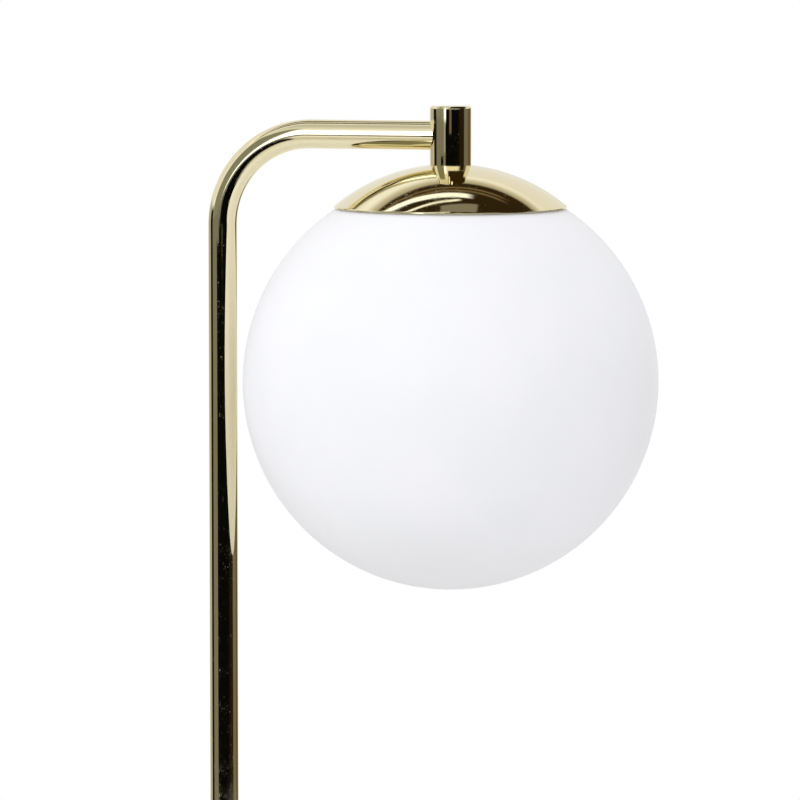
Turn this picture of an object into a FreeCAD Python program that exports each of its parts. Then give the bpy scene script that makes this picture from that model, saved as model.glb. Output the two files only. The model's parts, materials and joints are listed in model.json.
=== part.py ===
import FreeCAD, Part
import math
import os
import re

import Sketcher
from FreeCAD import Placement, Rotation, Vector

# Table lamp with an opal glass globe hung from a bent brass tube on a round weighted base.
# The origin is the centre of the underside of the base. +Z is up and +X points from the
# upright of the tube towards the globe. All lengths are millimetres and all angles degrees.

# Driving sizes: alias, value, what it measures.
SIZES = [
    # The whole lamp
    ("lamp_height", 500, "table to the top of the head block"),
    ("pole_gap", 7, "free space between the upright and the glass"),
    ("thread_gap", 0.1, "radial play of a threaded or plugged fit"),
    ("seat_gap", 0.35, "play between the glass and the metal that holds it"),
    # Base
    ("base_radius", 90, "outside of the base cover"),
    ("base_height", 18, "table to the top of the base cover"),
    ("base_edge_radius", 4.5, "outer rounding of the top edge of the cover"),
    ("cover_wall", 1.2, "sheet of the base cover"),
    ("cover_clearance", 1, "table to the lower edge of the cover"),
    ("pad_margin", 4, "edge of the base to the edge of the anti-slip pad"),
    ("pad_thickness", 2, "anti-slip pad"),
    ("weight_play", 0.5, "weight to the inside of the cover, sideways"),
    ("nut_pocket_radius", 14, "pocket for the nut of the upright"),
    ("nut_pocket_roof", 5, "iron left over the nut pocket"),
    ("channel_width", 12, "cable channel in the weight"),
    ("channel_roof", 4.3, "iron left over the cable channel"),
    ("recess_length", 37, "recess for the terminal block, along X"),
    ("recess_width", 26, "recess for the terminal block, along Y"),
    ("recess_start", 8, "axis of the upright to the recess"),
    # Cable inlet bush
    ("inlet_radius", 3.2, "bore for the cable"),
    ("inlet_height", 7.2, "table to the middle of the inlet"),
    ("inlet_wall", 1.2, "barrel of the bush"),
    ("inlet_flange_radius", 5.6, "outer flange of the bush"),
    ("inlet_flange", 1.4, "thickness of the outer flange"),
    ("inlet_barrel", 9, "length of the barrel inside the cover"),
    # Terminal block
    ("terminal_length", 22, "along X"),
    ("terminal_width", 20, "along Y"),
    ("terminal_height", 9, "along Z"),
    ("terminal_play", 5, "recess wall to the terminal block"),
    ("terminal_pitch", 10, "between the two clamping screws"),
    ("screw_radius", 1.8, "head of a clamping screw"),
    ("screw_head", 1.2, "height of the head of a clamping screw"),
    # Upright, bend and arm
    ("tube_radius", 7, "outside of the tube"),
    ("tube_wall", 1.2, "wall of the tube"),
    ("bend_radius", 44.5, "centre line of the bend"),
    ("tail_spigot", 16, "foot insert inside the tube"),
    ("tail_reach", 12, "threaded tail below the tube"),
    ("tail_bore", 3.4, "wire way through the foot insert"),
    ("thread_radius", 5, "hollow M10 thread"),
    ("washer_radius", 10, "washer under the base nut"),
    ("washer_thickness", 1.2, "washer under the base nut"),
    ("lock_radius", 8, "spring washer"),
    ("lock_thickness", 1, "spring washer"),
    ("lock_slit", 1.5, "slit of the spring washer"),
    ("nut_flats", 14, "across the flats of both nuts"),
    ("base_nut_height", 3.6, "nut of the upright"),
    # Head block
    ("block_radius", 10, "upright cylinder at the end of the arm"),
    ("block_height", 28.5, "upright cylinder at the end of the arm"),
    ("block_chamfer", 0.6, "edges of the block"),
    ("block_floor", 4.5, "floor of the block under its cavity"),
    ("cavity_radius", 7.5, "wire cavity of the block"),
    ("plug_height", 4, "plug that closes the cavity"),
    ("nipple_bore", 3.4, "wire way through the nipple"),
    ("nipple_rise", 1, "nipple above the floor of the cavity"),
    ("nipple_length", 18.5, "hollow nipple from block to lampholder"),
    # Dome cap over the mouth of the globe
    ("dome_radius", 90.5, "outside of the dome's sphere"),
    ("dome_wall", 1, "sheet of the dome"),
    ("dome_seat_radius", 10.5, "flat on top where the block stands"),
    ("rim_radius", 56, "outside of the dome's rim"),
    ("rim_lip", 1.5, "straight lip of the rim"),
    ("dome_washer_radius", 8, "washer under the dome"),
    ("dome_washer_height", 1, "washer under the dome"),
    ("dome_nut_height", 3, "nut under the dome"),
    # Globe
    ("globe_radius", 100, "outside of the glass"),
    ("glass_wall", 3, "wall of the blown glass"),
    ("mouth_radius", 40, "ground hole in the top of the glass"),
    ("mouth_rounding", 0.9, "fire polished edges of the hole"),
    ("seal_inner_radius", 46, "soft ring under the dome"),
    ("seal_outer_radius", 52, "soft ring under the dome"),
    ("seal_thickness", 0.8, "soft ring under the dome"),
    ("seal_glue", 0.3, "glue between the soft ring and the dome"),
    # Clip carrier and spring clips
    ("carrier_wall", 1.2, "pressed sheet of the carrier"),
    ("carrier_top_radius", 9, "flat centre of the carrier"),
    ("carrier_drop", 7.9, "centre of the carrier down to its flange"),
    ("carrier_bend_radius", 24, "where the cone meets the flange"),
    ("carrier_radius", 34, "outside of the flange"),
    ("clip_sheet", 0.6, "thickness of a spring clip"),
    ("clip_width", 8, "width of a spring clip"),
    ("clip_start", 25, "inner end of a clip from the axis"),
    ("clip_elbow", 33.5, "first bend of a clip from the axis"),
    ("clip_throat_play", 1.3, "clip to the edge of the glass hole"),
    ("clip_throat_rise", 3.1, "straight part of a clip inside the hole"),
    ("clip_knee_reach", 1.8, "knee of a clip beyond the hole"),
    ("clip_tail_drop", 7.2, "knee to the tip of a clip"),
    ("clip_tail_inset", 4.8, "knee to the tip, inwards"),
    ("rivet_place", 29, "rivets from the axis"),
    ("rivet_radius", 1.5, "shank of a rivet"),
    ("rivet_head_radius", 2.6, "head of a rivet"),
    ("rivet_head", 0.9, "height of a rivet head"),
    # Lampholder
    ("holder_gap", 0.8, "dome nut to the top of the lampholder"),
    ("holder_collar_radius", 7.5, "threaded collar of the holder cap"),
    ("holder_collar", 3.5, "height of the collar"),
    ("holder_shoulder", 7, "height of the sloping shoulder"),
    ("holder_skirt", 8, "straight skirt of the holder cap"),
    ("holder_radius", 19.5, "outside of the lampholder"),
    ("holder_wall", 1.6, "wall of the holder cap and shell"),
    ("holder_shell_length", 28, "shell below the cap"),
    ("holder_lip", 1.5, "inward lip at the mouth of the shell"),
    ("core_height", 6, "insulating core"),
    ("core_screw_place", 10, "terminal screws of the core from the axis"),
    ("contact_wall", 0.45, "sheet of the screw contact"),
    ("contact_length", 25, "screw contact"),
    ("contact_hole", 9, "hole in the top of the screw contact"),
    ("tongue_sheet", 0.5, "centre contact"),
    ("tongue_width", 5, "centre contact"),
    ("tongue_drop", 1.65, "spring of the centre contact"),
    # Lamp bulb, P45 shape with an E27 cap
    ("bulb_length", 76, "contact to the end of the glass"),
    ("bulb_ball_radius", 22.5, "glass ball"),
    ("bulb_glass_wall", 1, "glass ball"),
    ("bulb_cap_radius", 13.05, "outside of the screw cap"),
    ("bulb_cap_play", 0.4, "screw cap to the screw contact"),
    ("bulb_cap_wall", 0.4, "sheet of the screw cap"),
    ("bulb_cap_end", 26, "contact to the lower edge of the screw cap"),
    ("bulb_neck_radius", 13.6, "housing just below the cap"),
    ("bulb_joint", 44, "contact to the joint of housing and glass"),
    ("bulb_tip_radius", 4.6, "tip contact"),
    ("bulb_tip_height", 1.8, "tip contact"),
    ("bulb_insulator_radius", 11, "insulator at its wide end"),
    ("bulb_insulator_height", 3.4, "insulator"),
    ("bulb_shoulder", 2, "rounding of the top of the screw cap"),
    # Inner wires
    ("wire_radius", 1, "outside of one wire"),
    ("wire_spread", 1.35, "each wire from the middle plane"),
    ("wire_height", 3.6, "wires above the table inside the base"),
    ("wire_foot_bend", 6, "bend of the wires under the upright"),
    ("wire_head_bend", 5, "bend of the wires inside the block"),
]

# Places that follow from the driving sizes, written as expressions of them.
PLACES = {
    "axis_distance": "(globe_radius + pole_gap + tube_radius)",
    "pole_x": "(-axis_distance / 2)",
    "globe_x": "(axis_distance / 2)",
    "arm_height": "(lamp_height - block_height / 2)",
    "block_bottom": "(lamp_height - block_height)",
    "tube_bore": "(tube_radius - tube_wall)",
    "cover_inside": "(base_radius - cover_wall)",
    "pad_radius": "(base_radius - pad_margin)",
    "weight_top": "(base_height - cover_wall)",
    "pocket_roof": "(weight_top - nut_pocket_roof)",
    "washer_bottom": "(pocket_roof - washer_thickness)",
    "lock_bottom": "(washer_bottom - lock_thickness)",
    "recess_x": "(pole_x + recess_start)",
    "terminal_x": "(recess_x + terminal_play)",
    # Heights of the dome, measured down from its flat top
    "dome_centre": "(-sqrt(dome_radius ^ 2 - dome_seat_radius ^ 2))",
    "dome_inner_radius": "(dome_radius - dome_wall)",
    "rim_inner_radius": "(rim_radius - dome_wall)",
    "rim_top": "(dome_centre + sqrt(dome_radius ^ 2 - rim_radius ^ 2))",
    "rim_bottom": "(rim_top - rim_lip)",
    # The globe's centre lies where the rim clears the glass by the seat gap
    "globe_drop": "(rim_bottom - seat_gap - sqrt(globe_radius ^ 2 - rim_inner_radius ^ 2))",
    "globe_height": "(block_bottom + globe_drop)",
    "glass_inner_radius": "(globe_radius - glass_wall)",
    "mouth_top": "sqrt(globe_radius ^ 2 - mouth_radius ^ 2)",
    "mouth_bottom": "sqrt(glass_inner_radius ^ 2 - mouth_radius ^ 2)",
    # Stack under the dome
    "carrier_height": "(block_bottom - dome_wall)",
    "flange_bottom": "(carrier_height - carrier_drop - carrier_wall)",
    "dome_washer_top": "(carrier_height - carrier_wall)",
    "dome_nut_top": "(dome_washer_top - dome_washer_height)",
    "holder_top": "(dome_nut_top - dome_nut_height - holder_gap)",
    "nipple_top": "(block_bottom + block_floor + nipple_rise)",
    "cap_bottom": "(holder_top - holder_collar - holder_shoulder - holder_skirt)",
    "core_top": "(cap_bottom + core_height)",
    "contact_radius": "(bulb_cap_radius + bulb_cap_play)",
    "bulb_top": "(cap_bottom - tongue_drop - tongue_sheet - seat_gap)",
    "ball_centre": "(bulb_ball_radius - bulb_length)",
    "joint_radius": "sqrt(bulb_ball_radius ^ 2 - (ball_centre + bulb_joint) ^ 2)",
    "joint_inner_radius": "sqrt((bulb_ball_radius - bulb_glass_wall) ^ 2 - (ball_centre + bulb_joint) ^ 2)",
    # Spring clip, in heights above the globe's centre
    "knee_radius": "(mouth_radius + clip_knee_reach)",
    "knee_sphere": "(glass_inner_radius - seat_gap - clip_sheet / 2)",
    "knee_height": "sqrt(knee_sphere ^ 2 - knee_radius ^ 2)",
    "clip_level": "(flange_bottom - clip_sheet / 2)",
}

doc = FreeCAD.newDocument("globe_lamp")
sheet = doc.addObject("Spreadsheet::Sheet", "Sizes")


def fill_sheet():
    """Write every driving size into the sheet with its alias and a note."""
    for row, (alias, number, note) in enumerate(SIZES, start=1):
        sheet.set("A%d" % row, alias)
        sheet.set("B%d" % row, str(number))
        sheet.set("C%d" % row, note)
        sheet.setAlias("B%d" % row, alias)
    doc.recompute()


def bound(text):
    """Return an expression in which places are written out and sizes point into the sheet."""
    def replace(match):
        word = match.group()
        if word in PLACES:
            return bound(PLACES[word])
        if word in ALIASES:
            return "Sizes." + word
        return word
    return re.sub(r"[a-z_]+", replace, text)


def value(text):
    """Return what an expression of sizes comes to."""
    return float(sheet.evalExpression(bound(text)))


ALIASES = {alias for alias, number, note in SIZES}
fill_sheet()


def new_body(name, x="0", y="0", z="0", turn=0, axis=Vector(0, 0, 1)):
    """Start one sub-part as a body at a bound place, turned about an axis."""
    body = doc.addObject("PartDesign::Body", name)
    body.Label = name
    body.Placement = Placement(Vector(0, 0, 0), Rotation(axis, turn))
    body.setExpression("Placement.Base.x", bound(x))
    body.setExpression("Placement.Base.y", bound(y))
    body.setExpression("Placement.Base.z", bound(z))
    return body


def new_sketch(body, name, plane, offset="0"):
    """Add an empty sketch on one of the body's origin planes, lifted by an offset."""
    planes = {feature.Role: feature for feature in body.Origin.OriginFeatures}
    sketch = body.newObject("Sketcher::SketchObject", name)
    sketch.AttachmentSupport = [(planes[plane], "")]
    sketch.MapMode = "FlatFace"
    if offset != "0":
        sketch.setExpression("AttachmentOffset.Base.z", bound(offset))
    return sketch


def pin(sketch, edge, vertex, across, up):
    """Hold one vertex of a sketch at bound coordinates."""
    for kind, text, line in (("DistanceX", across, -2), ("DistanceY", up, -1)):
        if text == "0":
            sketch.addConstraint(Sketcher.Constraint("PointOnObject", edge, vertex, line))
            continue
        index = sketch.addConstraint(
            Sketcher.Constraint(kind, -1, 1, edge, vertex, value(text))
        )
        sketch.setExpression("Constraints[%d]" % index, bound(text))


def size_radius(sketch, edge, text):
    """Bind the radius of a circle or an arc."""
    index = sketch.addConstraint(Sketcher.Constraint("Radius", edge, value(text)))
    sketch.setExpression("Constraints[%d]" % index, bound(text))


def arc_between(start, end, radius, side):
    """Return the shorter arc from start to end whose centre lies on that side of the way."""
    middle = (start + end) / 2
    along = end - start
    height = math.sqrt(max(radius ** 2 - (along.Length / 2) ** 2, 0))
    left = Vector(-along.y, along.x, 0).normalize()
    centre = middle + left * (height if side == "left" else -height)
    first, last = (start, end) if side == "left" else (end, start)
    angles = [math.atan2(p.y - centre.y, p.x - centre.x) for p in (first, last)]
    if angles[1] <= angles[0]:
        angles[1] += 2 * math.pi
    circle = Part.Circle(centre, Vector(0, 0, 1), radius)
    return Part.ArcOfCircle(circle, angles[0], angles[1])


def draw(sketch, points, closed=True):
    """Draw lines and arcs through points, each (across, up) or (across, up, radius, side).

    A radius makes the edge that leaves the point an arc, with its centre on the named side.
    """
    places = [Vector(value(p[0]), value(p[1]), 0) for p in points]
    count = len(points) if closed else len(points) - 1
    edges = []
    for i in range(count):
        start, end = places[i], places[(i + 1) % len(points)]
        if len(points[i]) == 2:
            edge = sketch.addGeometry(Part.LineSegment(start, end))
            edges.append((edge, 1, 2))
            continue
        radius, side = points[i][2:]
        edge = sketch.addGeometry(arc_between(start, end, value(radius), side))
        edges.append((edge, 1, 2) if side == "left" else (edge, 2, 1))
    for i in range(count if closed else count - 1):
        edge, first, last = edges[i]
        following = edges[(i + 1) % count]
        sketch.addConstraint(
            Sketcher.Constraint("Coincident", edge, last, following[0], following[1])
        )
    for i in range(count):
        pin(sketch, edges[i][0], edges[i][1], points[i][0], points[i][1])
    if not closed:
        pin(sketch, edges[-1][0], edges[-1][2], points[-1][0], points[-1][1])
    for i in range(count):
        if len(points[i]) == 4:
            size_radius(sketch, edges[i][0], points[i][2])
    return [edge for edge, first, last in edges]


def draw_circle(sketch, across, up, radius):
    """Draw a circle with a bound centre and radius."""
    centre = Vector(value(across), value(up), 0)
    edge = sketch.addGeometry(Part.Circle(centre, Vector(0, 0, 1), value(radius)))
    pin(sketch, edge, 3, across, up)
    size_radius(sketch, edge, radius)


def turned(name, points, x="0", z="0"):
    """Make a sub-part by turning a section in the XZ plane about its own Z axis."""
    body = new_body(name, x=x, z=z)
    section = new_sketch(body, "section", "XZ_Plane")
    draw(section, points)
    revolution = body.newObject("PartDesign::Revolution", "turning")
    revolution.Profile = section
    revolution.ReferenceAxis = (section, ["V_Axis"])
    revolution.Angle = 360
    return body


def ring(name, inner, outer, height, x="0", z="0"):
    """Turn a flat ring whose top lies at z."""
    points = [(inner, "0"), (outer, "0"), (outer, "-" + height), (inner, "-" + height)]
    return turned(name, points, x=x, z=z)


def pad(body, sketch, length, both_ways=False, downwards=False):
    """Pad a sketch by a bound length."""
    feature = body.newObject("PartDesign::Pad", "pad")
    feature.Profile = sketch
    feature.setExpression("Length", bound(length))
    feature.Midplane = both_ways
    feature.Reversed = downwards
    return feature


def pocket(body, sketch, length=None, along_normal=False, both_ways=False):
    """Cut a sketch out of the body and make sure that it took something away."""
    doc.recompute()
    before = body.Shape.Volume
    feature = body.newObject("PartDesign::Pocket", "pocket")
    feature.Profile = sketch
    feature.Reversed = along_normal
    feature.Midplane = both_ways
    if length is None:
        feature.Type = "ThroughAll"
    else:
        feature.setExpression("Length", bound(length))
    doc.recompute()
    if not body.Shape.Volume < before - 1e-6:
        raise RuntimeError(body.Label + ": a pocket cut nothing")
    return feature


def round_edges(body, kind, size, wanted):
    """Fillet or chamfer the edges of the body that pass a test."""
    doc.recompute()
    names = [
        "Edge%d" % number
        for number, edge in enumerate(body.Tip.Shape.Edges, start=1)
        if wanted(edge)
    ]
    if not names:
        raise RuntimeError(body.Label + ": no edge to dress")
    base = body.Tip
    feature = body.newObject("PartDesign::" + kind, kind.lower())
    feature.Base = (base, names)
    feature.setExpression("Radius" if kind == "Fillet" else "Size", bound(size))
    return feature


def is_circle(radius, height=None):
    """Return a test for a full circle of that radius about the local Z axis."""
    def test(edge):
        if edge.Degenerated:
            return False
        curve = edge.Curve
        if not isinstance(curve, Part.Circle) or abs(curve.Radius - radius) > 1e-4:
            return False
        return height is None or abs(curve.Center.z - height) < 1e-4
    return test


def swept(body, spine_points, section, corners="Transformed"):
    """Sweep a section sketch along a path of lines and arcs in the XZ plane."""
    spine = new_sketch(body, "path", "XZ_Plane")
    edges = draw(spine, spine_points, closed=False)
    pipe = body.newObject("PartDesign::AdditivePipe", "sweep")
    pipe.Profile = section
    pipe.Spine = (spine, ["Edge%d" % (edge + 1) for edge in edges])
    pipe.Transition = corners
    return pipe


# Base


def make_base_cover():
    """Spun cover with a rounded top edge, a hole for the upright and a hole for the inlet."""
    inner_edge = "(base_edge_radius - cover_wall)"
    body = turned("base_cover", [
        ("0", "base_height"),
        ("base_radius - base_edge_radius", "base_height", "base_edge_radius", "right"),
        ("base_radius", "base_height - base_edge_radius"),
        ("base_radius", "cover_clearance"),
        ("cover_inside", "cover_clearance"),
        ("cover_inside", "base_height - base_edge_radius", inner_edge, "left"),
        ("base_radius - base_edge_radius", "weight_top"),
        ("0", "weight_top"),
    ])
    hole = new_sketch(body, "tail_hole", "XY_Plane")
    draw_circle(hole, "pole_x", "0", "thread_radius + thread_gap")
    pocket(body, hole, along_normal=True)
    inlet = new_sketch(body, "inlet_hole", "YZ_Plane")
    draw_circle(inlet, "0", "inlet_height", "inlet_radius + inlet_wall + thread_gap")
    pocket(body, inlet)
    return body


def make_base_weight():
    """Cast disc with a nut pocket, a cable channel and a recess for the terminal block."""
    edge = "(base_edge_radius - cover_wall)"
    radius = "(cover_inside - weight_play)"
    body = turned("base_weight", [
        ("0", "weight_top"),
        (radius + " - " + edge, "weight_top"),
        (radius, "weight_top - " + edge),
        (radius, "pad_thickness"),
        ("0", "pad_thickness"),
    ])
    nut = new_sketch(body, "nut_pocket", "XY_Plane")
    draw_circle(nut, "pole_x", "0", "nut_pocket_radius")
    pocket(body, nut, "pocket_roof", along_normal=True)
    hole = new_sketch(body, "tail_hole", "XY_Plane")
    draw_circle(hole, "pole_x", "0", "thread_radius + thread_gap")
    pocket(body, hole, along_normal=True)
    channel = new_sketch(body, "cable_channel", "XY_Plane")
    draw(channel, [
        ("-base_radius", "-channel_width / 2"),
        ("pole_x", "-channel_width / 2"),
        ("pole_x", "channel_width / 2"),
        ("-base_radius", "channel_width / 2"),
    ])
    pocket(body, channel, "weight_top - channel_roof", along_normal=True)
    recess = new_sketch(body, "terminal_recess", "XY_Plane")
    draw(recess, [
        ("recess_x", "-recess_width / 2"),
        ("recess_x + recess_length", "-recess_width / 2"),
        ("recess_x + recess_length", "recess_width / 2"),
        ("recess_x", "recess_width / 2"),
    ])
    pocket(body, recess, "weight_top - channel_roof", along_normal=True)
    return body


def make_base_pad():
    """Soft anti-slip disc that closes the base from below."""
    return ring("base_pad", "0", "pad_radius", "pad_thickness", z="pad_thickness")


def make_cord_bush():
    """Flanged bush in the rim of the base, turned about the X axis of the inlet."""
    body = new_body("cord_bush", x="-base_radius", z="inlet_height", turn=-90, axis=Vector(0, 1, 0))
    section = new_sketch(body, "section", "XZ_Plane")
    barrel = "(inlet_radius + inlet_wall)"
    draw(section, [
        ("inlet_radius", "inlet_flange"),
        ("inlet_flange_radius - inlet_flange / 2", "inlet_flange", "inlet_flange / 2", "right"),
        ("inlet_flange_radius", "inlet_flange / 2"),
        ("inlet_flange_radius", "0"),
        (barrel, "0"),
        (barrel, "-inlet_barrel"),
        ("inlet_radius", "-inlet_barrel"),
    ])
    revolution = body.newObject("PartDesign::Revolution", "turning")
    revolution.Profile = section
    revolution.ReferenceAxis = (section, ["V_Axis"])
    revolution.Angle = 360
    return body


def make_terminal_block():
    """Two-pole terminal block in the recess of the weight, with two screw wells."""
    body = new_body("terminal_block", x="terminal_x", z="pad_thickness")
    outline = new_sketch(body, "outline", "XY_Plane")
    draw(outline, [
        ("0", "-terminal_width / 2"),
        ("terminal_length", "-terminal_width / 2"),
        ("terminal_length", "terminal_width / 2"),
        ("0", "terminal_width / 2"),
    ])
    pad(body, outline, "terminal_height")
    wells = new_sketch(body, "wells", "XY_Plane", "terminal_height - screw_head * 2")
    for side in ("-", ""):
        draw_circle(wells, "terminal_length / 2", side + "terminal_pitch / 2", "screw_radius + thread_gap")
    pocket(body, wells, along_normal=True)
    return body


def make_terminal_screws():
    """Two clamping screws at the bottom of the wells of the terminal block."""
    body = new_body("terminal_screws", x="terminal_x", z="pad_thickness + terminal_height - screw_head * 2")
    heads = new_sketch(body, "heads", "XY_Plane")
    for side in ("-", ""):
        draw_circle(heads, "terminal_length / 2", side + "terminal_pitch / 2", "screw_radius")
    pad(body, heads, "screw_head")
    return body


# Upright, bend and arm


def make_stem_tube():
    """One tube: upright, bend and arm, whose end is saddle-cut to the round head block."""
    body = new_body("stem_tube", x="pole_x", z="base_height")
    section = new_sketch(body, "section", "XY_Plane")
    draw_circle(section, "0", "0", "tube_radius")
    draw_circle(section, "0", "0", "tube_bore")
    rise = "(arm_height - base_height)"
    swept(body, [
        ("0", "0"),
        ("0", rise + " - bend_radius", "bend_radius", "right"),
        ("bend_radius", rise),
        ("axis_distance", rise),
    ], section)
    saddle = new_sketch(body, "saddle", "XY_Plane")
    draw_circle(saddle, "axis_distance", "0", "block_radius")
    pocket(body, saddle, along_normal=True)
    return body


def make_stem_tail():
    """Foot insert brazed into the tube, with a hollow thread through the base."""
    return turned("stem_tail", [
        ("tail_bore", "tail_spigot"),
        ("tube_bore - thread_gap", "tail_spigot"),
        ("tube_bore - thread_gap", "0"),
        ("thread_radius", "0"),
        ("thread_radius", "-tail_reach"),
        ("tail_bore", "-tail_reach"),
    ], x="pole_x", z="base_height")


def make_stem_washer():
    """Plain washer against the roof of the nut pocket."""
    return ring("stem_washer", "thread_radius + thread_gap", "washer_radius", "washer_thickness",
                x="pole_x", z="pocket_roof")


def make_stem_lock_washer():
    """Spring washer with its slit."""
    body = ring("stem_lock_washer", "thread_radius + thread_gap", "lock_radius", "lock_thickness",
                x="pole_x", z="washer_bottom")
    slit = new_sketch(body, "slit", "XY_Plane")
    draw(slit, [
        ("0", "-lock_slit / 2"),
        ("washer_radius", "-lock_slit / 2"),
        ("washer_radius", "lock_slit / 2"),
        ("0", "lock_slit / 2"),
    ])
    pocket(body, slit)
    return body


def hexagon_nut(name, height, x, z):
    """Make a hexagon nut whose top lies at z."""
    body = new_body(name, x=x, z=z)
    outline = new_sketch(body, "outline", "XY_Plane")
    corner = "(nut_flats / 2 / cos(30))"
    points = []
    for step in range(6):
        points.append((corner + " * cos(%d)" % (60 * step + 10), corner + " * sin(%d)" % (60 * step + 10)))
    draw(outline, points)
    draw_circle(outline, "0", "0", "thread_radius + thread_gap")
    pad(body, outline, height, downwards=True)
    return body


def make_stem_nut():
    """Nut that clamps tube, cover and weight together."""
    return hexagon_nut("stem_nut", "base_nut_height", "pole_x", "lock_bottom")


# Head block


def make_head_block():
    """Turned cylinder with a wire cavity, a floor hole for the nipple and a side hole."""
    body = turned("head_block", [
        ("thread_radius + thread_gap", "0"),
        ("block_radius", "0"),
        ("block_radius", "block_height"),
        ("cavity_radius", "block_height"),
        ("cavity_radius", "block_floor"),
        ("thread_radius + thread_gap", "block_floor"),
    ], x="globe_x", z="block_bottom")
    top = value("block_height")
    radius = value("block_radius")
    round_edges(body, "Chamfer", "block_chamfer", is_circle(radius, top))
    side = new_sketch(body, "wire_hole", "YZ_Plane")
    draw_circle(side, "0", "block_height / 2", "tube_bore")
    pocket(body, side)
    return body


def make_head_plug():
    """Flush round plug that closes the wire cavity from above."""
    return turned("head_plug", [
        ("0", "0"),
        ("cavity_radius - thread_gap", "0"),
        ("cavity_radius - thread_gap", "-plug_height"),
        ("0", "-plug_height"),
    ], x="globe_x", z="lamp_height")


def make_head_nipple():
    """Hollow threaded nipple that hangs dome, clips and lampholder on the block."""
    return ring("head_nipple", "nipple_bore", "thread_radius", "nipple_length",
                x="globe_x", z="nipple_top")


# Dome and what is clamped under it


def make_dome_cap():
    """Spun dome: a flat seat on top, a spherical shell and a short straight lip."""
    inner_flat = "sqrt(dome_inner_radius ^ 2 - (dome_centre + dome_wall) ^ 2)"
    inner_rim = "(dome_centre + sqrt(dome_inner_radius ^ 2 - rim_inner_radius ^ 2))"
    return turned("dome_cap", [
        ("thread_radius + thread_gap", "0"),
        ("dome_seat_radius", "0", "dome_radius", "right"),
        ("rim_radius", "rim_top"),
        ("rim_radius", "rim_bottom"),
        ("rim_inner_radius", "rim_bottom"),
        ("rim_inner_radius", inner_rim, "dome_inner_radius", "left"),
        (inner_flat, "-dome_wall"),
        ("thread_radius + thread_gap", "-dome_wall"),
    ], x="globe_x", z="block_bottom")


def make_globe_seal():
    """Thin soft ring glued inside the dome, parallel to the dome's own curve."""
    inner = "seal_inner_radius"
    outer = "seal_outer_radius"
    above = "(dome_inner_radius - seal_glue)"
    below = "(dome_inner_radius - seal_glue - seal_thickness)"
    height = "(dome_centre + sqrt({1} ^ 2 - {0} ^ 2))"
    return turned("globe_seal", [
        (inner, height.format(inner, above), above, "right"),
        (outer, height.format(outer, above)),
        (outer, height.format(outer, below), below, "left"),
        (inner, height.format(inner, below)),
    ], x="globe_x", z="block_bottom")


def make_clip_carrier():
    """Pressed dish under the dome with a flat flange for the three spring clips."""
    body = turned("clip_carrier", [
        ("thread_radius + thread_gap", "0"),
        ("carrier_top_radius", "0"),
        ("carrier_bend_radius", "-carrier_drop"),
        ("carrier_radius", "-carrier_drop"),
        ("carrier_radius", "-carrier_drop - carrier_wall"),
        ("carrier_bend_radius - carrier_wall / 2", "-carrier_drop - carrier_wall"),
        ("carrier_top_radius - carrier_wall / 2", "-carrier_wall"),
        ("thread_radius + thread_gap", "-carrier_wall"),
    ], x="globe_x", z="carrier_height")
    holes = new_sketch(body, "rivet_holes", "XY_Plane")
    for turn in CLIP_TURNS:
        draw_circle(holes, "rivet_place * cos(%d)" % turn, "rivet_place * sin(%d)" % turn,
                    "rivet_radius + thread_gap / 2")
    pocket(body, holes)
    return body


def make_spring_clip(name, turn):
    """Leaf spring: it lies under the flange, drops through the hole and holds the glass."""
    body = new_body(name, x="globe_x", z="globe_height", turn=turn)
    section = new_sketch(body, "section", "YZ_Plane", "clip_start")
    level = "(clip_level - globe_height)"
    half_width, half_sheet = "clip_width / 2", "clip_sheet / 2"
    draw(section, [
        ("-" + half_width, level + " - " + half_sheet),
        (half_width, level + " - " + half_sheet),
        (half_width, level + " + " + half_sheet),
        ("-" + half_width, level + " + " + half_sheet),
    ])
    throat = "(mouth_radius - clip_throat_play)"
    swept(body, [
        ("clip_start", level),
        ("clip_elbow", level),
        (throat, "mouth_bottom + clip_throat_rise"),
        (throat, "mouth_bottom"),
        ("knee_radius", "knee_height"),
        ("knee_radius - clip_tail_inset", "knee_height - clip_tail_drop"),
    ], section, corners="Right corner")
    hole = new_sketch(body, "rivet_hole", "XY_Plane")
    draw_circle(hole, "rivet_place", "0", "rivet_radius + thread_gap / 2")
    pocket(body, hole, along_normal=True)
    return body


def make_clip_rivets():
    """Three rivets: shanks through flange and clips, a head above and one below."""
    body = new_body("clip_rivets", x="globe_x", z="flange_bottom - clip_sheet - rivet_head")
    stack = "(rivet_head + clip_sheet + carrier_wall)"
    parts = (
        ("0", "rivet_head_radius", "rivet_head"),
        ("0", "rivet_radius", stack + " + rivet_head"),
        (stack, "rivet_head_radius", "rivet_head"),
    )
    for lift, radius, length in parts:
        sketch = new_sketch(body, "rounds", "XY_Plane", lift)
        for turn in CLIP_TURNS:
            draw_circle(sketch, "rivet_place * cos(%d)" % turn, "rivet_place * sin(%d)" % turn, radius)
        pad(body, sketch, length)
    return body


def make_dome_washer():
    """Washer between the carrier and its nut."""
    return ring("dome_washer", "thread_radius + thread_gap", "dome_washer_radius",
                "dome_washer_height", x="globe_x", z="dome_washer_top")


def make_dome_nut():
    """Nut that clamps the dome and the carrier to the block."""
    return hexagon_nut("dome_nut", "dome_nut_height", "globe_x", "dome_nut_top")


def make_globe():
    """Blown glass sphere of even wall with a round ground hole on top."""
    body = turned("globe", [
        ("mouth_radius", "mouth_top", "globe_radius", "right"),
        ("0", "-globe_radius"),
        ("0", "-glass_inner_radius", "glass_inner_radius", "left"),
        ("mouth_radius", "mouth_bottom"),
    ], x="globe_x", z="globe_height")
    round_edges(body, "Fillet", "mouth_rounding", is_circle(value("mouth_radius")))
    return body


# Lampholder


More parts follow.
